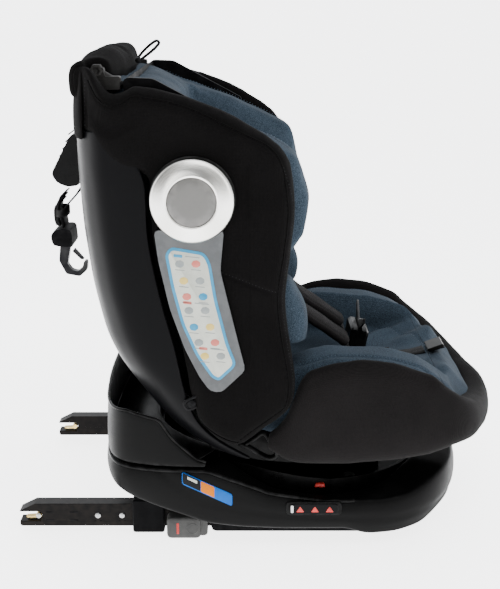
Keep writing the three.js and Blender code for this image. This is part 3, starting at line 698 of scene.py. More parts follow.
def wing_cover(label, side):
    wing = stuffed(f"wing_fabric_{label}", [f"wing_cover_{label}"], 5, BLACK_FABRIC, 3.2,
                   wing_form, smooth=3, finish=wing_limits)
    rumple(wing, 55, 1.0, 3 + side)
    crease(wing, [on_wing(wing, side, SEAMS[name]) for name in ("edge", "panel", "rear", "low")], 2.2, 1.6)
    settle(wing, "seat", "black_fabric", f"wing_cover_{label}")
    parts = [tube(f"wing_piping_{label}_{name}", on_wing(wing, side, SEAMS[name], 0.2), 0.85, BLACK_FABRIC, 6)
             for name in ("edge", "low")]
    for name, shift in (("panel", 1.8), ("rear", 2.0), ("edge_inner", 0)):
        line = [(y + shift * (name == "rear"), z + shift * (name == "panel")) for y, z in SEAMS[name]]
        parts.append(stitches(f"wing_thread_{label}_{name}", on_wing(wing, side, line, 0.05), 3.6, THREAD))
    for part in parts:
        settle(part, "seat", "black_fabric")


def hood():
    """The cover's rear panel, pulled down over the top of the shell, and the padded roll on it."""
    rows = []
    # height, and how far it stands behind the shell's rear
    for z, out in ((461, 1.2), (463, 2.6), (470, 3.0), (482, 3.0), (496, 2.2), (508, 0.8), (518, -1),
                   (529, -2), (535, -4)):
        _, rear, half, depth = table_of(SHELL_LEVELS, min(z, SHELL_LEVELS[-1][0]))
        line = corner_line(half + 1.5, rear + out, depth, 222, 61)
        rows.append(np.column_stack([line, np.full(len(line), z)]))
    points, faces = skin(rows, capped=False, wrap=False)
    panel = new_object("cover_rear_panel", points, faces, BLACK_FABRIC)
    modifier(panel, "SOLIDIFY", thickness=3 * MM, offset=-1)
    modifier(panel, "SUBSURF", levels=2, render_levels=2)
    apply_all(panel)
    rumple(panel, 40, 1.0, 8)
    settle(panel, "seat", "black_fabric")

    def swell(points):
        out = points.copy()
        slope = np.clip((np.abs(points[:, 0]) - 70) / 85, 0, 1)
        slope = slope**2 * (3 - 2 * slope)
        out[:, 2] = 500 + (points[:, 2] - 500) * (0.90 - 0.13 * slope)
        out[:, 1] += 4 * slope
        return out

    roll = stuffed("top_roll_fabric", ["top_roll"], 5, BLACK_FABRIC, 5, swell, smooth=6)
    rumple(roll, 38, 1.6, 5)
    settle(roll, "seat", "black_fabric", "top_roll")


def back_lining():
    pad = stuffed("back_pad_fabric", ["back_pad"], 6, LINING, 3)
    rumple(pad, 45, 1.5, 12)
    settle(pad, "seat", "black_fabric", "back_pad")


# ---------- seat cushion, its cover and the insert ----------
def seat_cover():
    """One padded cover that runs down one side, round the front lip and back up the other."""
    half = [(-186, 30), (-187, 16), (-187.5, 4), (-188, -12), (-188, -40), (-187.5, -80), (-186.5, -120),
            (-184, -148), (-178, -170), (-164, -187), (-140, -199), (-104, -211), (-55, -224), (0, -231)]
    plan = curve(half + [(-x, y) for x, y in half[-2::-1]], 121)
    tops = [(40, 130), (27, 138), (14, 150), (4, 166), (-4, 196), (-12, 210), (-40, 219), (-73, 223),
            (-111, 219), (-154, 204), (-170, 189), (-187, 174), (-199, 163), (-211, 154),
            (-224, 147), (-240, 145)]
    bottoms = [(40, 124), (27, 120), (14, 110), (0, 104), (-60, 102), (-114, 107), (-147, 113),
               (-174, 122), (-200, 122), (-220, 112), (-240, 107)]
    # outward distance, and share of the height
    section = [(-15, 0.10), (-17, 0.45), (-16, 0.85), (-11, 0.975), (-2, 1.0), (7, 0.95), (12.5, 0.83),
               (16, 0.62), (18, 0.42), (17.5, 0.22), (14, 0.08), (6, 0.005), (-6, 0.01)]
    along = np.gradient(plan, axis=0)
    along /= np.linalg.norm(along, axis=1)[:, None]
    rings = []
    for i, ((x, y), (dx, dy)) in enumerate(zip(plan, along)):
        top, = table_of(tops, y)
        bottom, = table_of(bottoms, y)
        ends = min(i, len(plan) - 1 - i)
        slim = 0.55 + 0.45 * min(1, ends / 9)
        out = np.array((-dy, dx)) * (-1 if x * -dy + (y + 60) * dx < 0 else 1)
        rings.append([(x + out[0] * a * slim, y + out[1] * a * slim, bottom + (top - bottom) * b)
                      for a, b in section])
    cover = new_object("seat_cover_fabric", *skin(rings), SEAT_FABRIC)
    modifier(cover, "SUBSURF", levels=2, render_levels=2)
    apply_all(cover)
    rumple(cover, 60, 1.6, 21)
    rumple(cover, 17, 0.35, 4)
    # folds where the fabric is drawn round the front corners
    folds = []
    for side in (-1, 1):
        for k in range(3):
            y0, z0 = -196 + 5 * k, 132 + 11 * k
            line = [(side * 195, y0, z0), (side * 172, y0 - 26, z0 - 3 - 2 * k),
                    (side * 128, y0 - 40, z0 - 7)]
            folds.append(curve(line, 40))
    crease(cover, folds, 3.2, 1.6)
    hem_line = [(-4, 192), (-40, 209), (-75, 214), (-112, 210), (-152, 197), (-178, 183)]
    hem = [lie_on(cover, plane_line(side * 260, hem_line, 70), (-side, 0, 0)) for side in (-1, 1)]
    crease(cover, hem, 1.8, 1.0)
    settle(cover, "seat", "black_fabric", "seat_side_left", "seat_side_right", "seat_front")
    for (label, _), line in zip(SIDES, hem):
        settle(stitches(f"seat_hem_thread_{label}", line + (0, 0, -2.6), 3.6, THREAD), "seat", "black_fabric")


# the height that the cushion's top stays under, by y, and its folds with their heights
CUSHION_LIP = [(-200, 152), (-187, 164), (-170, 180), (-154, 194), (-140, 203), (-111, 212), (45, 224)]
CUSHION_FOLDS = [([(36, -92), (74, -118), (104, -158)], 10), ([(-34, -150), (-78, -168)], 5),
                 ([(46, -150), (80, -182)], 7)]


def seat_cushion():
    def crown(points):
        out = points.copy()
        edge = np.clip((np.abs(points[:, 0]) - 118) / 45, 0, 1)
        high = np.clip((points[:, 2] - 160) / 60, 0, 1)
        out[:, 2] -= high * (9 + 2 * edge)
        lip, = table_of(CUSHION_LIP, points[:, 1])
        out[:, 2] = np.where(points[:, 2] > 140, np.minimum(out[:, 2], lip), out[:, 2])
        middle = np.clip((128 - np.abs(points[:, 0])) / 50, 0, 1)
        out[:, 1] -= 15 * middle * np.clip((-150 - points[:, 1]) / 45, 0, 1)
        for fold, height in CUSHION_FOLDS:
            away = distance_to(np.array(fold, float), points[:, :2])
            out[:, 2] += np.where(points[:, 2] > 150, height * np.exp(-((away / 12) ** 2)), 0)
        return out

    cushion = stuffed("seat_cushion_fabric", ["seat_cushion"], 5, BLUE_FABRIC, 4, crown, smooth=6)
    rumple(cushion, 46, 2.0, 31)
    seams = []
    for side in (-1, 1):
        rim = [(side * 152, y, 300) for y in np.linspace(-188, -6, 90)]
        seams.append(lie_on(cushion, rim, (0, 0, -1)))
    arch = [(x, -120 - 58 * math.cos(x / 112 * math.pi / 2), 300) for x in np.linspace(-108, 108, 90)]
    seams.append(lie_on(cushion, arch, (0, 0, -1)))
    crease(cushion, seams, 2.4, 2.2)
    settle(cushion, "seat", "blue_fabric", "seat_cushion")
    for i, seam in enumerate(seams):
        inward = (-2.6 * np.sign(seam[0][0]), 0, 0.2) if i < 2 else (0, 2.6, 0.2)
        settle(stitches(f"seat_cushion_thread_{i}", seam + inward, 4, BLUE_THREAD), "seat", "blue_fabric")


def body_insert():
    def lobes(points):
        out = points.copy()
        wide = np.clip((np.abs(points[:, 0]) - 70) / 35, 0, 1) * np.clip((68 - points[:, 1]) / 45, 0, 1)
        swell = np.exp(-(((points[:, 2] - 258) / 34) ** 2))
        out[:, 1] -= 13 * wide * swell
        return out

    insert = stuffed("body_insert_fabric", ["body_insert"], 5, BLUE_FABRIC, 4, lobes, smooth=6)
    rumple(insert, 34, 2.2, 41)
    seams = [lie_on(insert, [(x, 60, z) for z in np.linspace(196, 290, 40)], (0, 1, 0)) for x in (-128, 128)]
    crease(insert, [s for s in seams if len(s)], 2.4, 2.0)
    settle(insert, "seat", "blue_fabric", "body_insert")


# ---------- headrest ----------
def headrest_top(points):
    """Lowers the pad's top rim to its sloping line, and moves its rear and its lower notch back."""
    out = points.copy()
    y = points[:, 1]
    rim, = table_of([(-11, 440), (10, 448), (38, 464), (89, 487), (131, 503), (150, 514), (176, 525)], y)
    old, = table_of([(-11, 436), (-2, 440), (36, 466), (86, 495), (150, 527), (184, 527)], y)
    z = points[:, 2]
    out[:, 2] = np.where(z > 420, 420 + (z - 420) * (rim - 420) / (old - 420), z)
    high = np.clip((z - 430) / 50, 0, 1) * np.clip((y - 110) / 60, 0, 1)
    low = np.clip((356 - z) / 32, 0, 1) * np.clip((60 - y) / 40, 0, 1)
    cheek = np.exp(-(((z - 385) / 26) ** 2)) * np.clip((30 - y) / 30, 0, 1)
    out[:, 1] += 19 * high + 15 * low - 4 * cheek
    return out


def headrest():
    pad = stuffed("headrest_pad_fabric", ["headrest_pad"], 5, BLUE_FABRIC, 4.5, headrest_top, smooth=6,
                  finish=lambda p: np.column_stack([np.clip(p[:, 0], -166, 166), p[:, 1:]]))
    rumple(pad, 42, 2.2, 51)
    rumple(pad, 14, 0.5, 52)
    seams = []
    for side in (-1, 1):
        rim = [(side * 138, y, 600) for y in np.linspace(10, 160, 80)]
        seams.append(lie_on(pad, rim, (0, 0, -1)))
        cheek = plane_line(side * 60, [(30, 330), (26, 400), (52, 455), (110, 480)], 60)
        seams.append(lie_on(pad, cheek, (side, 0, 0)))
    seams = [seam for seam in seams if len(seam) > 5]
    crease(pad, seams, 2.4, 2.4)
    settle(pad, "headrest", "blue_fabric", "headrest_pad")
    for i, seam in enumerate(seams):
        thread = stitches(f"headrest_thread_{i}", seam + (0, -2.2, 0.6), 4, BLUE_THREAD)
        settle(thread, "headrest", "blue_fabric")
    carry("headrest_frame", INSIDE, 1.2)


def pull_loop():
    """A loop of tape that sticks up behind the headrest pad."""
    side = [(181, 529), (172, 536), (163, 543), (157, 549), (156, 552), (159, 553.5), (165, 550), (173, 543),
            (180, 535), (183, 530)]
    path = [(3 * math.sin(i / 9 * math.pi), y, z) for i, (y, z) in enumerate(side)]
    loop = tube("pull_loop_tape", curve(path, 50), 1.7, WEBBING, 10)
    settle(loop, "headrest", "webbing", "pull_loop")
    knot = [(x, 181 - abs(x) * 0.12, 531 + 1.5 * math.cos(x / 5)) for x in np.linspace(-7, 7, 12)]
    settle(tube("pull_loop_knot", knot, 3.2, WEBBING, 8), "headrest", "webbing")


# ---------- side protection and label ----------
def side_protector(label, side):
    foot, rim, crown = 212.6, 229, 235.2
    profile = [(12, foot), (DISC_RADIUS - 0.8, foot), (DISC_RADIUS - 0.2, foot + 0.8),
               (DISC_RADIUS - 0.2, rim - 3.4), (DISC_RADIUS - 0.8, rim - 1.6),
               (DISC_RADIUS - 2.6, rim + 0.3), (DISC_RADIUS - 5, rim + 1.4),
               (DISC_CAP + 9, crown - 2.4), (DISC_CAP + 3, crown - 0.4), (DISC_CAP + 1.2, crown - 0.1),
               (DISC_CAP + 0.4, crown - 0.7), (DISC_CAP + 0.2, crown - 2.2), (12, crown - 2.4)]
    ring = turned(f"protector_ring_{label}", side, profile, SILVER)
    settle(ring, "seat", "protector_silver", f"side_protector_{label}")
    cap = [(0.5, crown - 2.3), (DISC_CAP - 0.2, crown - 2.3), (DISC_CAP, crown - 1.4),
           (DISC_CAP - 0.7, crown - 0.7), (DISC_CAP * 0.6, crown - 0.45), (0.5, crown - 0.35)]
    settle(turned(f"protector_cap_{label}", side, cap, CAP), "seat", "panel_grey")
    # painted shadow: a thin dark rubber ring round the disc's foot stands for the shade where the disc meets
    # the cover
    shadow = [(DISC_RADIUS - 1, foot - 0.1), (DISC_RADIUS + 0.7, foot - 0.1), (DISC_RADIUS + 0.7, foot + 3.5),
              (DISC_RADIUS - 0.1, foot + 4.2)]
    settle(turned(f"protector_foot_shadow_{label}", side, shadow, RUBBER), "seat", "mat_rubber")


LABEL_LINE = [(137, 347), (131, 355), (96, 349), (90, 338), (84, 299), (72, 250), (63, 227), (82, 209),
              (90, 213), (106, 237), (121, 272), (131, 312)]


def label_panel(label, side):
    carry(f"label_panel_{label}", PANEL, 1.1)
    face = abs(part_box(f"label_panel_{label}")[1 if side > 0 else 0].x / MM)
    outline = rounded(LABEL_LINE, 7)
    for name, line, low, high, edge, ink in (
            ("border", outline, face - 0.1, face + 0.25, 0.15, LABEL_BLUE),
            ("field", inset(outline, 3.2), face + 0.2, face + 0.4, 0.1, LABEL_WHITE)):
        badge(f"label_{name}_{label}", line, low, high, edge, ink, side, "seat", "panel_grey")
    # plain blocks and rings in rows, with no meaning of their own
    marks = {"red": [], "grey": [], "yellow": [], "blue": []}
    rows = [(340, 113), (322, 109), (305, 106), (290, 104), (272, 99), (255, 94), (240, 88)]
    for k, (z, y) in enumerate(rows):
        head = ("blue", "red", "red")[k // 3]
        if k % 3 == 0:
            marks[head].append([(y + 15, z + 7.5), (y + 6, z + 6.5), (y + 6, z + 3.5), (y + 15, z + 4.5)])
            marks["grey"].append([(y + 3, z + 5.6), (y - 12, z + 4), (y - 12, z + 3), (y + 3, z + 4.6)])
        for j, shift in enumerate((9, -8)):
            colour = ("grey", "yellow", "red", "grey", "blue")[(k + 2 * j) % 5]
            centre = (y + shift, z - 3)
            marks[colour].append([(centre[0] + 5 * math.cos(t), centre[1] + 4.2 * math.sin(t))
                                  for t in np.linspace(0, 2 * math.pi, 7, endpoint=False)])
            marks["grey"].append([(centre[0] + 5, z - 8.6), (centre[0] - 5, z - 9.6),
                                  (centre[0] - 5, z - 10.4), (centre[0] + 5, z - 9.4)])
    inks = {"red": LABEL_RED, "grey": LABEL_GREY, "yellow": LABEL_YELLOW, "blue": LABEL_BLUE}
    for colour, outlines in marks.items():
        parts = [plate(f"mark_{label}_{colour}_{i}", rounded(line, 0.9, 3), face + 0.35, face + 0.48, 0.05,
                       inks[colour], facing(side)) for i, line in enumerate(outlines)]
        settle(joined(f"label_marks_{colour}_{label}", parts), "seat", "panel_grey")


def carry(node, material, bevel, segments=2):
    """A CAD node shown as it is, with its edges broken and a finish of its own."""
    obj = NODES[node]
    obj.data.materials.clear()
    obj.data.materials.append(material)
    if "custom_normal" in obj.data.attributes:
        obj.data.attributes.remove(obj.data.attributes["custom_normal"])
    obj.data.polygons.foreach_set("use_smooth", [True] * len(obj.data.polygons))
    modifier(obj, "WELD", merge_threshold=0.02 * MM)
    if bevel:
        modifier(obj, "BEVEL", width=bevel * MM, segments=segments, angle_limit=math.radians(32),
                 harden_normals=True, use_clamp_overlap=True)
    else:
        modifier(obj, "EDGE_SPLIT", split_angle=math.radians(32))
    return obj


# ---------- harness ----------
STRAP_PATH = [(44, 322), (33, 292), (17, 264), (-5, 242), (-33, 222), (-60, 203), (-71, 192)]
PAD_PATH = [(34, 300), (28, 284), (12, 261.5), (-9, 242), (-35, 223.5), (-57, 208), (-66, 201)]


HARNESS_X = 41
PAD_WIDTH = 50


def harness(label, side):
    centre = side * HARNESS_X
    strap = ribbon(f"shoulder_webbing_{label}", plane_line(centre, STRAP_PATH, 60), 33, 1.8, WEBBING)
    settle(strap, "seat", "webbing", f"shoulder_strap_{label}")
    pad_line = curve(PAD_PATH, 40)
    wide = [(centre, y - 1.2, z - 0.4) for y, z in pad_line]
    pad = ribbon(f"shoulder_pad_fabric_{label}", wide, PAD_WIDTH, 9.5, PAD_FABRIC)
    modifier(pad, "SUBSURF", levels=2, render_levels=2)
    apply_all(pad)
    start = coordinates(pad)
    across = np.abs(start[:, 0] - centre) / (PAD_WIDTH / 2)
    place(pad, start + normals(pad) * (1.6 * (1 - across**2))[:, None])
    rumple(pad, 22, 0.9, 61 + side)
    rims = []
    for edge in (-20, 20):
        rim = [(centre + edge, y - 60, z + 60) for y, z in pad_line[2:-2]]
        rims.append(lie_on(pad, rim, (0, 0.7071, -0.7071)))
    crease(pad, rims, 1.8, 1.3)
    settle(pad, "seat", "pad_fabric", f"shoulder_pad_{label}")
    for i, rim in enumerate(rims):
        thread = stitches(f"shoulder_pad_thread_{label}_{i}", rim + (0, -0.5, 0.6), 3.6, THREAD)
        settle(thread, "seat", "pad_fabric")


def buckle():
    carry("buckle_housing", TRIM, 1.4, 3)
    carry("buckle_button", RED, 0.8, 3)
    carry("buckle_tongue", HOOK_STEEL, 0.5, 2)
    lean = math.radians(10)

    def leant(x, y, z):
        return (x, -79 + y * math.cos(lean) - z * math.sin(lean),
                171 + y * math.sin(lean) + z * math.cos(lean))

    ribs = [tube(f"button_rib_{i}", [leant(x, -13, 18 + 4 * i) for x in np.linspace(-8, 8, 8)], 0.7, RED, 6)
            for i in range(4)]
    settle(joined("buckle_button_ribs", ribs), "button", "button_red")
    path = plane_line(0, [(-86, 163), (-110, 166), (-129, 169)], 20)
    pad = ribbon("crotch_pad_fabric", path, 54, 5.5, PAD_FABRIC)
    modifier(pad, "SUBSURF", levels=2, render_levels=2)
    apply_all(pad)
    rumple(pad, 20, 0.7, 71)
    settle(pad, "seat", "pad_fabric", "crotch_pad")
    strap = plane_line(0, [(-131, 168.8), (-152, 171.2), (-169, 175.8)], 24)
    settle(ribbon("adjuster_webbing", strap, 26, 1.8, WEBBING), "seat", "webbing", "adjuster_strap")
    carry("harness_adjuster", TRIM, 0.8, 2)
    carry("recline_handle", GREY, 1.0, 2)


# ---------- base ----------
# half of the base's outline from above, and the heights of its edges by y
PLAN = [(0, -205), (70, -200), (120, -186), (158, -158), (180, -118), (189, -60), (190, 0), (190, 60),
        (190, 110), (185, 160), (168, 198), (130, 215), (60, 221.5), (0, 223)]
TOP_EDGE = [(-205, 75), (-180, 74), (-165, 70), (-139, 60), (-104, 56), (-34, 57), (27, 66), (69, 84),
            (96, 95.5), (240, 95.5)]
LOW_EDGE = [(-205, 42), (-195, 34), (-172, 28), (-150, 18), (-118, 14), (-82, 14), (-60, 22), (13, 22),
            (60, 24), (96, 28.6), (142, 44), (186, 57), (223, 68)]
SWEEP = [(-230, 40), (-120, 33), (-20, 38), (60, 46), (110, 62), (150, 92), (223, 120)]
GUARD_EDGE = [(97, 103), (109, 107), (136, 131), (150, 152), (188, 159.5), (212, 156.5), (223, 158)]


def plan_line(grow=0.0, count=160, low=None):
    """The base's outline seen from above, or only its part behind y = low."""
    line = PLAN + [(-x, y) for x, y in PLAN[-2:0:-1]]
    ring = inset(curve(line, 400, closed=True), -grow)
    if low is None:
        return curve(ring, count, closed=True)
    start = int(np.argmin(ring[:, 1]))
    ring = np.roll(ring, -start, 0)
    return curve(ring[ring[:, 1] > low], count)


def base_casing():
    """Smooth bowl-sided moulding with a crease above its foot and a lip round the dish."""
    line = plan_line()
    y = line[:, 1]
    top, = table_of(TOP_EDGE, y)
    low, = table_of(LOW_EDGE, y)
    height = top - low
    turn = np.arctan2(line[:, 1], line[:, 0])
    dish = np.stack([DISH_RADIUS * np.cos(turn), DISH_RADIUS * np.sin(turn)], 1)
    front = np.clip((-y - 60) / 120, 0, 1)

    def ring(grow, z, toward=0.0):
        moved = inset(line, -grow) * (1 - toward) + dish * toward
        return np.column_stack([moved, z])

    rings = [
        ring(-22, low + 4), ring(-9, low + 0.2), ring(-5, low + 0.2), ring(-2.6, low + 1.6),
        ring(-1.6 - front * 2, low + 5), ring(-0.6, low + height * 0.26), ring(0, low + height * 0.42),
        ring(-0.2, low + height * 0.62), ring(-1.5, top - 9), ring(-2.8, top - 4.2), ring(-4.4, top - 1.3),
        ring(-6.5, top - 0.2), ring(-9, top, 0.25), ring(-10, top - 0.2, 0.86), ring(-10, top - 0.8, 0.97),
        ring(-10, top - 3, 1.0), ring(-10, np.full(len(y), 46.0), 1.0), ring(-10, np.full(len(y), 41.0), 1.0),
    ]
    points, faces = skin(rings, capped=False)
    casing = new_object("base_casing_skin", points, faces, CASING)
    modifier(casing, "SUBSURF", levels=1, render_levels=1)
    apply_all(casing)
    out = normals(casing)
    start = coordinates(casing)
    # the moulded crease that sweeps from the rear corner down to the foot
    sweep, = table_of(SWEEP, start[:, 1])
    crest = np.exp(-(((start[:, 2] - sweep) / 2.6) ** 2)) * (np.hypot(start[:, 0], start[:, 1]) > 176)
    place(casing, start - out * (1.0 * crest)[:, None])
    settle(casing, "base", "base_plastic", "base_casing")
    dish_floor = [(DISH_RADIUS + 0.2, 41.2), (DISH_RADIUS - 2, 40.4), (RACE_OUT + 1, 40.2), (60, 40.2),
                  (14, 40.2)]
    settle(lathe("dish_floor", dish_floor, INSIDE), "base", "base_plastic")
    lip = np.column_stack([inset(line, 3.2), top - 0.4])
    rear = y > -75
    count = int(rear.sum())
    first = int(np.argmax(rear & ~np.roll(rear, 1)))
    strip = np.roll(lip, -first, 0)[:count]
    sunk = np.column_stack([np.zeros((count, 2)), np.clip((strip[:, 1] - 40) / 40, 0, 1) * -2.6])
    settle(tube("rim_strip", strip + sunk, 2.0, TRIM, 8), "base", "base_plastic")


def rear_guard():
    """The raised moulding behind the seat, which turns with it."""
    line = plan_line(-1.6, 110, 96.5)
    y = line[:, 1]
    top, = table_of(GUARD_EDGE, y)
    inner = plan_line(-7, 110, 96.5)
    base_z = np.full(len(y), 97.4)
    flare = np.clip((top - 100) / 50, 0, 1)
    rings = [
        np.column_stack([inner, base_z + 0.8]), np.column_stack([inset_open(line, 1.5), base_z]),
        np.column_stack([line, base_z + 1.2]), np.column_stack([line, 97.5 + (top - 97.5) * 0.35]),
        np.column_stack([inset_open(line, 1.0 * flare), 97.5 + (top - 97.5) * 0.75]),
        np.column_stack([inset_open(line, 1.8), top - 1.4]), np.column_stack([inset_open(line, 3.2), top]),
        np.column_stack([inner, top - 1.2]), np.column_stack([inner, base_z + 0.8]),
    ]
    points, faces = skin(rings, capped=False, wrap=False)
    count = len(line)
    for end in (0, count - 1):
        faces.append(tuple(end + count * k for k in range(len(rings) - 1)))
    guard = new_object("rear_guard_skin", points, faces, CASING)
    modifier(guard, "WELD", merge_threshold=0.05 * MM)
    modifier(guard, "SUBSURF", levels=1, render_levels=1)
    apply_all(guard)
    settle(guard, "carriage", "base_plastic", "turntable_skirt")
    crest = np.column_stack([inset_open(line, 2.6), top - 0.2])
    settle(tube("guard_strip", crest, 1.7, TRIM, 8), "carriage", "shell_plastic")
    # the deck between the guard and the dish, with its collar
    whole = plan_line(-7, 400)
    whole = whole[np.argsort(np.arctan2(whole[:, 1], whole[:, 0]))]
    turn = np.radians(np.linspace(31, 149, 90))
    far = np.interp(turn, np.arctan2(whole[:, 1], whole[:, 0]), np.hypot(whole[:, 0], whole[:, 1]))
    shelf = []
    for reach, z in ((168.2, 62), (163.9, 62), (163.9, 99.4), (165.2, 101.4), (167, 101.8), (far, 101.8)):
        shelf.append(np.column_stack([reach * np.cos(turn), reach * np.sin(turn), np.full(len(turn), z)]))
    points, faces = skin(shelf, capped=False, wrap=False)
    deck = new_object("rear_guard_deck", points, faces, TRIM)
    modifier(deck, "SOLIDIFY", thickness=1.6 * MM, offset=1)
    apply_all(deck)
    settle(deck, "carriage", "shell_plastic")


def inset_open(line, distance):
    """An open plan line moved toward the swivel axis side."""
    along = np.gradient(line, axis=0)
    along /= np.linalg.norm(along, axis=1)[:, None]
    across = np.stack([-along[:, 1], along[:, 0]], 1)
    flip = np.sign(np.sum(across * -line, axis=1))[:, None]
    return line + across * flip * np.broadcast_to(distance, len(line))[:, None]


def carriage():
    carry("turntable", TRIM, 0.8)
    carry("swivel_race", STEEL, 0.4)
    carry("seat_pan", TRIM, 1.0)
    for node in ("king_pin", "king_nut", "swivel_lock_pin"):
        carry(node, STEEL, 0.4)
    tab = rounded([(-37, 62), (-24, 62), (-26, 66.5), (-35, 66.5)], 1.5)
    for label, side in SIDES:
        badge(f"position_tab_{label}", tab, 150, 163, 0.8, RED, side, "carriage", "button_red")


def base_details(label, side):
    carry(f"side_rail_{label}", INSIDE, 0.8)
    carry(f"anchor_sleeve_{label}", INSIDE, 1.0)
    # window with its three arrow marks and a bright end stop
    carry(f"position_window_{label}", GLASS, 0.5)
    face = BASE_HALF + 2.3
    for i, y in enumerate((-7, -23.5, -40)):
        arrow = [(y - 4.6, 45.4), (y + 4.6, 45.4), (y, 52.6)]
        badge(f"window_mark_{label}_{i}", rounded(arrow, 1.2, 3), face - 0.6, face + 0.35, 0.2, RED,
              side, "base", "button_red")
    badge(f"window_stop_{label}", rounded(rectangle(0.5, 44.5, 3.4, 53.5), 0.8, 3), face - 0.6, face + 0.3,
          0.2, STEEL, side, "base", "plated_steel")
    badge(f"window_frame_{label}", rounded(rectangle(-53.5, 41, 8.5, 57), 5), BASE_HALF - 1.5,
          BASE_HALF + 0.9, 0.7, CASING, side, "base", "base_plastic")

    # film label under the rim: an outlined dark block, an orange one and a blue one
    def slant(y0, y1, drop, lift=0.0):
        bottom, = table_of([(70, 66), (124, 93)], np.array([y0, y1]))
        return [(y0, bottom[0] - drop + lift), (y1, bottom[1] - drop + lift), (y1, bottom[1] - lift),
                (y0, bottom[0] - lift)]

    face = BASE_HALF + 0.1
    for name, line, low, high, edge, look in (
            ("edge", rounded(slant(69, 125, 14.5), 3), -2.5, 0.1, 0.1, LABEL_CYAN),
            ("dark", rounded(slant(104.5, 124.2, 14.2, 0.7), 1.6, 4), 0, 0.2, 0.1, LABEL_DARK),
            ("orange", rounded(slant(89, 104, 14.2, 0.7), 1.6, 4), 0, 0.2, 0.1, LABEL_ORANGE),
            ("blue", rounded(slant(70, 88.5, 14.2, 0.7), 1.6, 4), 0, 0.2, 0.1, LABEL_CYAN),
            ("mark", rounded(slant(108, 119, 8.6, 2.6), 0.8, 3), 0.1, 0.3, 0.05, LABEL_WHITE)):
        badge(f"base_label_{name}_{label}", line, face + low, face + high, edge, look,
              side, "base", "base_plastic")


# ---------- anchor arms and grips ----------
ARM_FACE = 149.05  # the arm's outer face


def anchor(label, side):
    carry(f"anchor_arm_{label}", ARM_STEEL, 0.6, 2)
    carry(f"anchor_pawl_{label}", BRASS, 0.4)
    face = ARM_FACE
    head = [(0.3, face - 0.3), (3.4, face - 0.3), (3.4, face + 0.5), (2.8, face + 1.1), (1.6, face + 1.4),
            (0.3, face + 1.5)]
    for i, (y, z) in enumerate(((226, 20.5), (198, 20.5))):
        settle(turned(f"arm_rivet_{label}_{i}", side, head, STEEL, y, z, 32), "anchor_frame", "plated_steel")
        for letter, shift in (("a", -3.2), ("b", 3.2)):
            nick = rounded(rectangle(y + shift - 1.1, z - 7.4, y + shift + 1.1, z - 6.4), 0.4, 3)
            badge(f"arm_nick_{label}_{i}_{letter}", nick, face - 0.4, face + 0.08, 0.03, INSIDE,
                  side, "anchor_frame", "arm_steel")
    for k, y in enumerate((282, 254)):
        for j, z in enumerate((14.5, 24.5)):
            slot = rounded(rectangle(y - 5, z - 0.9, y + 5, z + 0.9), 0.8, 3)
            badge(f"arm_slot_{label}_{k}{j}", slot, face - 0.5, face + 0.06, 0.03, INSIDE,
                  side, "anchor_frame", "arm_steel")
    rivet = [(0.3, face - 0.2), (3.1, face - 0.2), (3.1, face + 0.4), (2.2, face + 0.9), (0.3, face + 1.0)]
    settle(turned(f"pawl_rivet_{label}", side, rivet, STEEL, 295, 20, 32), f"pawl_{label}", "plated_steel")
    if side < 0:
        carry("anchor_crossbar", STEEL, 0.3)


def grip(label, side):
    """A soft-cornered grey slider with a dimple at its front and a red mark at its rear."""
    body = rounded(rectangle(105.4, 2, 144.6, 28.4), 6)
    nose = rounded(rectangle(97.6, 4, 112, 26.4), 5)
    main = plate(f"grip_body_{label}", body, 155.6, 172.4, 3.2, GREY, facing(side))
    tip = plate(f"grip_nose_{label}", nose, 155.8, 169.6, 2.6, GREY, facing(side))
    for part in (main, tip):
        modifier(part, "BEVEL", width=0.5 * MM, segments=2, angle_limit=math.radians(35))
        apply_all(part)
    shell = joined(f"release_grip_shell_{label}", [main, tip])
    settle(shell, f"grip_{label}", "grip_grey", f"release_grip_{label}")
    dimple = [(0.4, 172.35), (5.6, 172.35), (6.0, 172.7), (6.4, 172.7), (6.8, 172.3)]
    settle(turned(f"grip_dimple_{label}", side, dimple, GREY, 115, 15, 40), f"grip_{label}", "grip_grey")
    mark = rounded(rectangle(130.4, 8.5, 133.2, 22), 0.6, 3)
    badge(f"grip_mark_{label}", mark, 172.2, 172.7, 0.15, RED, side, f"grip_{label}", "button_red")


# ---------- lever, belt guides, elastic hook, tether ----------
LEVER_X = -180


def swivel_lever():
    """A flattened loop of rod on the near side of the seat."""
    loop = [(62, 124), (50, 118.5), (36, 109.5), (27, 106), (20, 109), (21, 117), (27, 126), (34, 136),
            (44, 129.5), (54, 123)]
    lever = tube("swivel_lever_loop", plane_line(LEVER_X, loop, 70), 2.7, TRIM, 10)
    start = coordinates(lever)
    start[:, 0] = LEVER_X + (start[:, 0] - LEVER_X) * 2.0
    place(lever, start)
    settle(lever, "lever", "shell_plastic", "swivel_lever")


def belt_guide(label, side):
    """A knob and a short roller across the shoulder recess, on their bracket."""
    carry(f"belt_guide_{label}", GUIDE, 1.2)
    centre = side * 157
    knob = [(0.4, 149.9), (6.4, 149.9), (7.2, 150.7), (7.2, 163.4), (6.2, 164.4), (4, 164.6), (3.4, 163.6),
            (0.4, 163.4)]
    settle(turned(f"guide_knob_{label}", side, knob, GUIDE, 208.5, 529.5, 6), "seat", "grip_grey")
    roller = [(centre, 205 - 20 * t, 526 - 12 * t) for t in np.linspace(0, 1, 14)]
    settle(tube(f"guide_roller_{label}", roller, 5.2, GUIDE, 20), "seat", "grip_grey")
    cap = [(centre, 186 - 2.5 * t, 514.6 - 1.5 * t) for t in np.linspace(0, 1, 4)]
    settle(tube(f"guide_roller_cap_{label}", cap, 5.7, INSIDE, 20), "seat", "grip_grey")


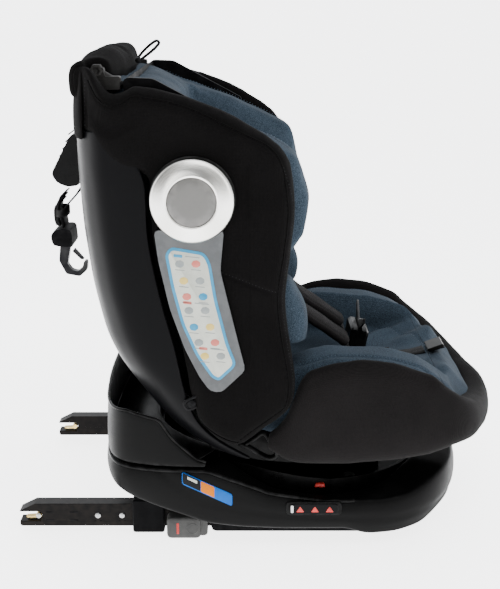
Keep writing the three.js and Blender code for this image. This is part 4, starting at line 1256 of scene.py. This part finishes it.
def elastic_hook(label, side):
    """The loop of elastic that holds the cover's lower rear corner to the shell."""
    loop = [(104, 190), (113, 186), (120, 181), (116, 174), (107, 177)]
    line = plane_line(side * (WING_OUT - 4), loop, 30)
    settle(tube(f"cover_elastic_{label}", line, 1.5, WEBBING, 8), "seat", "webbing")
    stud = [(0.3, WING_OUT - 8), (4.6, WING_OUT - 8), (4.6, WING_OUT - 3), (3.6, WING_OUT - 2),
            (0.3, WING_OUT - 1.8)]
    settle(turned(f"cover_stud_{label}", side, stud, INSIDE, 112, 180.5, 28), "seat", "base_plastic")


def tether():
    carry("back_flap", TRIM, 1.6, 3)
    carry("tether_adjuster", INSIDE, 1.2)
    carry("tether_hook", HOOK_STEEL, 0.9)
    carry("tether_gate", HOOK_STEEL, 0.4)
    path = plane_line(TETHER_X, [(245, 390), (252, 380), (266, 364), (268, 352), (267, 343)], 40)
    settle(ribbon("tether_webbing", path, 38, 1.9, WEBBING), "seat", "webbing", "tether_strap")
    for i in range(3):
        lift = 1.5 + 2.1 * i
        fold = [(TETHER_X + 1.5 * i - 2, y + lift, z) for y, z in
                curve([(262, 384 - 5 * i), (268, 378 - 4 * i), (271, 364), (271, 352), (269, 345)], 30)]
        settle(ribbon(f"tether_fold_{i}", fold, 36 - i, 1.7, WEBBING), "seat", "webbing")
    keeper = [(TETHER_X + 21 * math.cos(t), 270 + 7.5 * math.sin(t), 360)
              for t in np.linspace(0, 2 * math.pi, 41)]
    settle(ribbon("tether_keeper", keeper, 9, 1.4, RUBBER, (0, 0, 1)), "seat", "mat_rubber")
    across = np.linspace(TETHER_X - 20, TETHER_X + 20, 6)
    bars = [tube(f"adjuster_bar_{i}", [(x, 279.5, 327 + 8 * i) for x in across], 1.6, STEEL, 12)
            for i in range(2)]
    settle(joined("tether_adjuster_bars", bars), "seat", "plated_steel")
    across = np.linspace(-70, 2, 12)
    ribs = [tube(f"flap_rib_{i}", [(x, 254.5 + 3.7 * i, 453 - 8.2 * i) for x in across], 0.8, TRIM, 6)
            for i in range(5)]
    settle(joined("flap_ribs", ribs), "flap", "shell_plastic")


# ---------- floor, light and camera ----------
def stage():
    floor_look = Look("floor_paper", Specular_IOR_Level=0.2)
    floor_look.shader.inputs["Emission Color"].default_value = (1, 1, 1, 1)
    floor_look.shader.inputs["Emission Strength"].default_value = FLOOR_GLOW
    tone = floor_look.blend(floor_look.noise(3, 2), (0.80, 0.81, 0.83, 1), (0.86, 0.86, 0.87, 1))
    floor_look.set(Base_Color=tone)
    corners = [(x, y, FLOOR_Z) for x, y in rectangle(-FLOOR_HALF, -FLOOR_HALF, FLOOR_HALF, FLOOR_HALF)]
    floor = new_object("floor", corners, [(0, 1, 2, 3)], floor_look.material)
    world = bpy.data.worlds.new("studio")
    world.use_nodes = True
    tree = world.node_tree
    back = tree.nodes["Background"]
    back.inputs["Color"].default_value = (0.95, 0.97, 1.0, 1)
    heading = tree.nodes.new("ShaderNodeSeparateXYZ")
    tree.links.new(tree.nodes.new("ShaderNodeTexCoord").outputs["Generated"], heading.inputs[0])
    fade = tree.nodes.new("ShaderNodeMapRange")
    fade.interpolation_type = "SMOOTHSTEP"
    for socket, value in zip(("From Min", "From Max", "To Min", "To Max"), WORLD_FADE):
        fade.inputs[socket].default_value = value
    tree.links.new(heading.outputs["X"], fade.inputs["Value"])
    tree.links.new(fade.outputs[0], back.inputs["Strength"])
    bpy.context.scene.world = world
    for name, where, power, wide, tall in LIGHTS:
        light = bpy.data.lights.new(name, "AREA")
        light.shape = "RECTANGLE"
        light.size, light.size_y = wide, tall
        light.energy = power
        lamp = bpy.data.objects.new(name, light)
        lamp.location = where
        lamp.rotation_euler = (LIGHT_AIM - Vector(where)).to_track_quat("-Z", "Y").to_euler()
        bpy.context.scene.collection.objects.link(lamp)


FLOOR_HALF, FLOOR_Z = 400000, -0.6
FLOOR_GLOW = 3.8
# from the dim side of the studio, behind the camera, to the bright paper behind the seat
WORLD_FADE = (-0.4, 0.5, 0.25, 2.2)
LIGHT_AIM = Vector((0, 0, 0.28))
# name, place, power, width, height, in metres and watts
LIGHTS = [
    ("overhead", (-0.9, -0.3, 2.2), 34, 1.6, 1.6),
    ("rear_bank", (-0.5, 2.4, 0.9), 7, 0.35, 1.6),
    ("camera_bank", (-2.4, 1.1, 1.1), 16, 0.7, 1.2),
    ("front_bank", (-1.4, -2.0, 1.3), 14, 0.8, 1.4),
]


# solved from the two anchor arms in the photograph: lens in mm, place in metres, tilt in radians
CAMERA_LENS = 68.9
CAMERA_PLACE = (-1.3497, 0.0492, 0.6067)
CAMERA_TILT = 0.26075


def camera():
    lens = bpy.data.cameras.new("camera")
    lens.lens = CAMERA_LENS
    lens.sensor_width = 36
    lens.clip_start, lens.clip_end = 0.05, 900
    eye = bpy.data.objects.new("camera", lens)
    eye.location = CAMERA_PLACE
    eye.rotation_euler = (math.pi / 2 - CAMERA_TILT, 0, -math.pi / 2)
    bpy.context.scene.collection.objects.link(eye)
    bpy.context.scene.camera = eye


# ---------- assembly ----------
camera()
stage()
carry("floor_tray", INSIDE, 0.8)
carry("anti_slip_mat", RUBBER, 0.3)
base_casing()
carriage()
rear_guard()
back_shell()
hood()
back_lining()
seat_cover()
seat_cushion()
body_insert()
headrest()
pull_loop()
buckle()
swivel_lever()
tether()
for label, side in SIDES:
    wing_cover(label, side)
    side_protector(label, side)
    label_panel(label, side)
    harness(label, side)
    base_details(label, side)
    anchor(label, side)
    grip(label, side)
    belt_guide(label, side)
    elastic_hook(label, side)
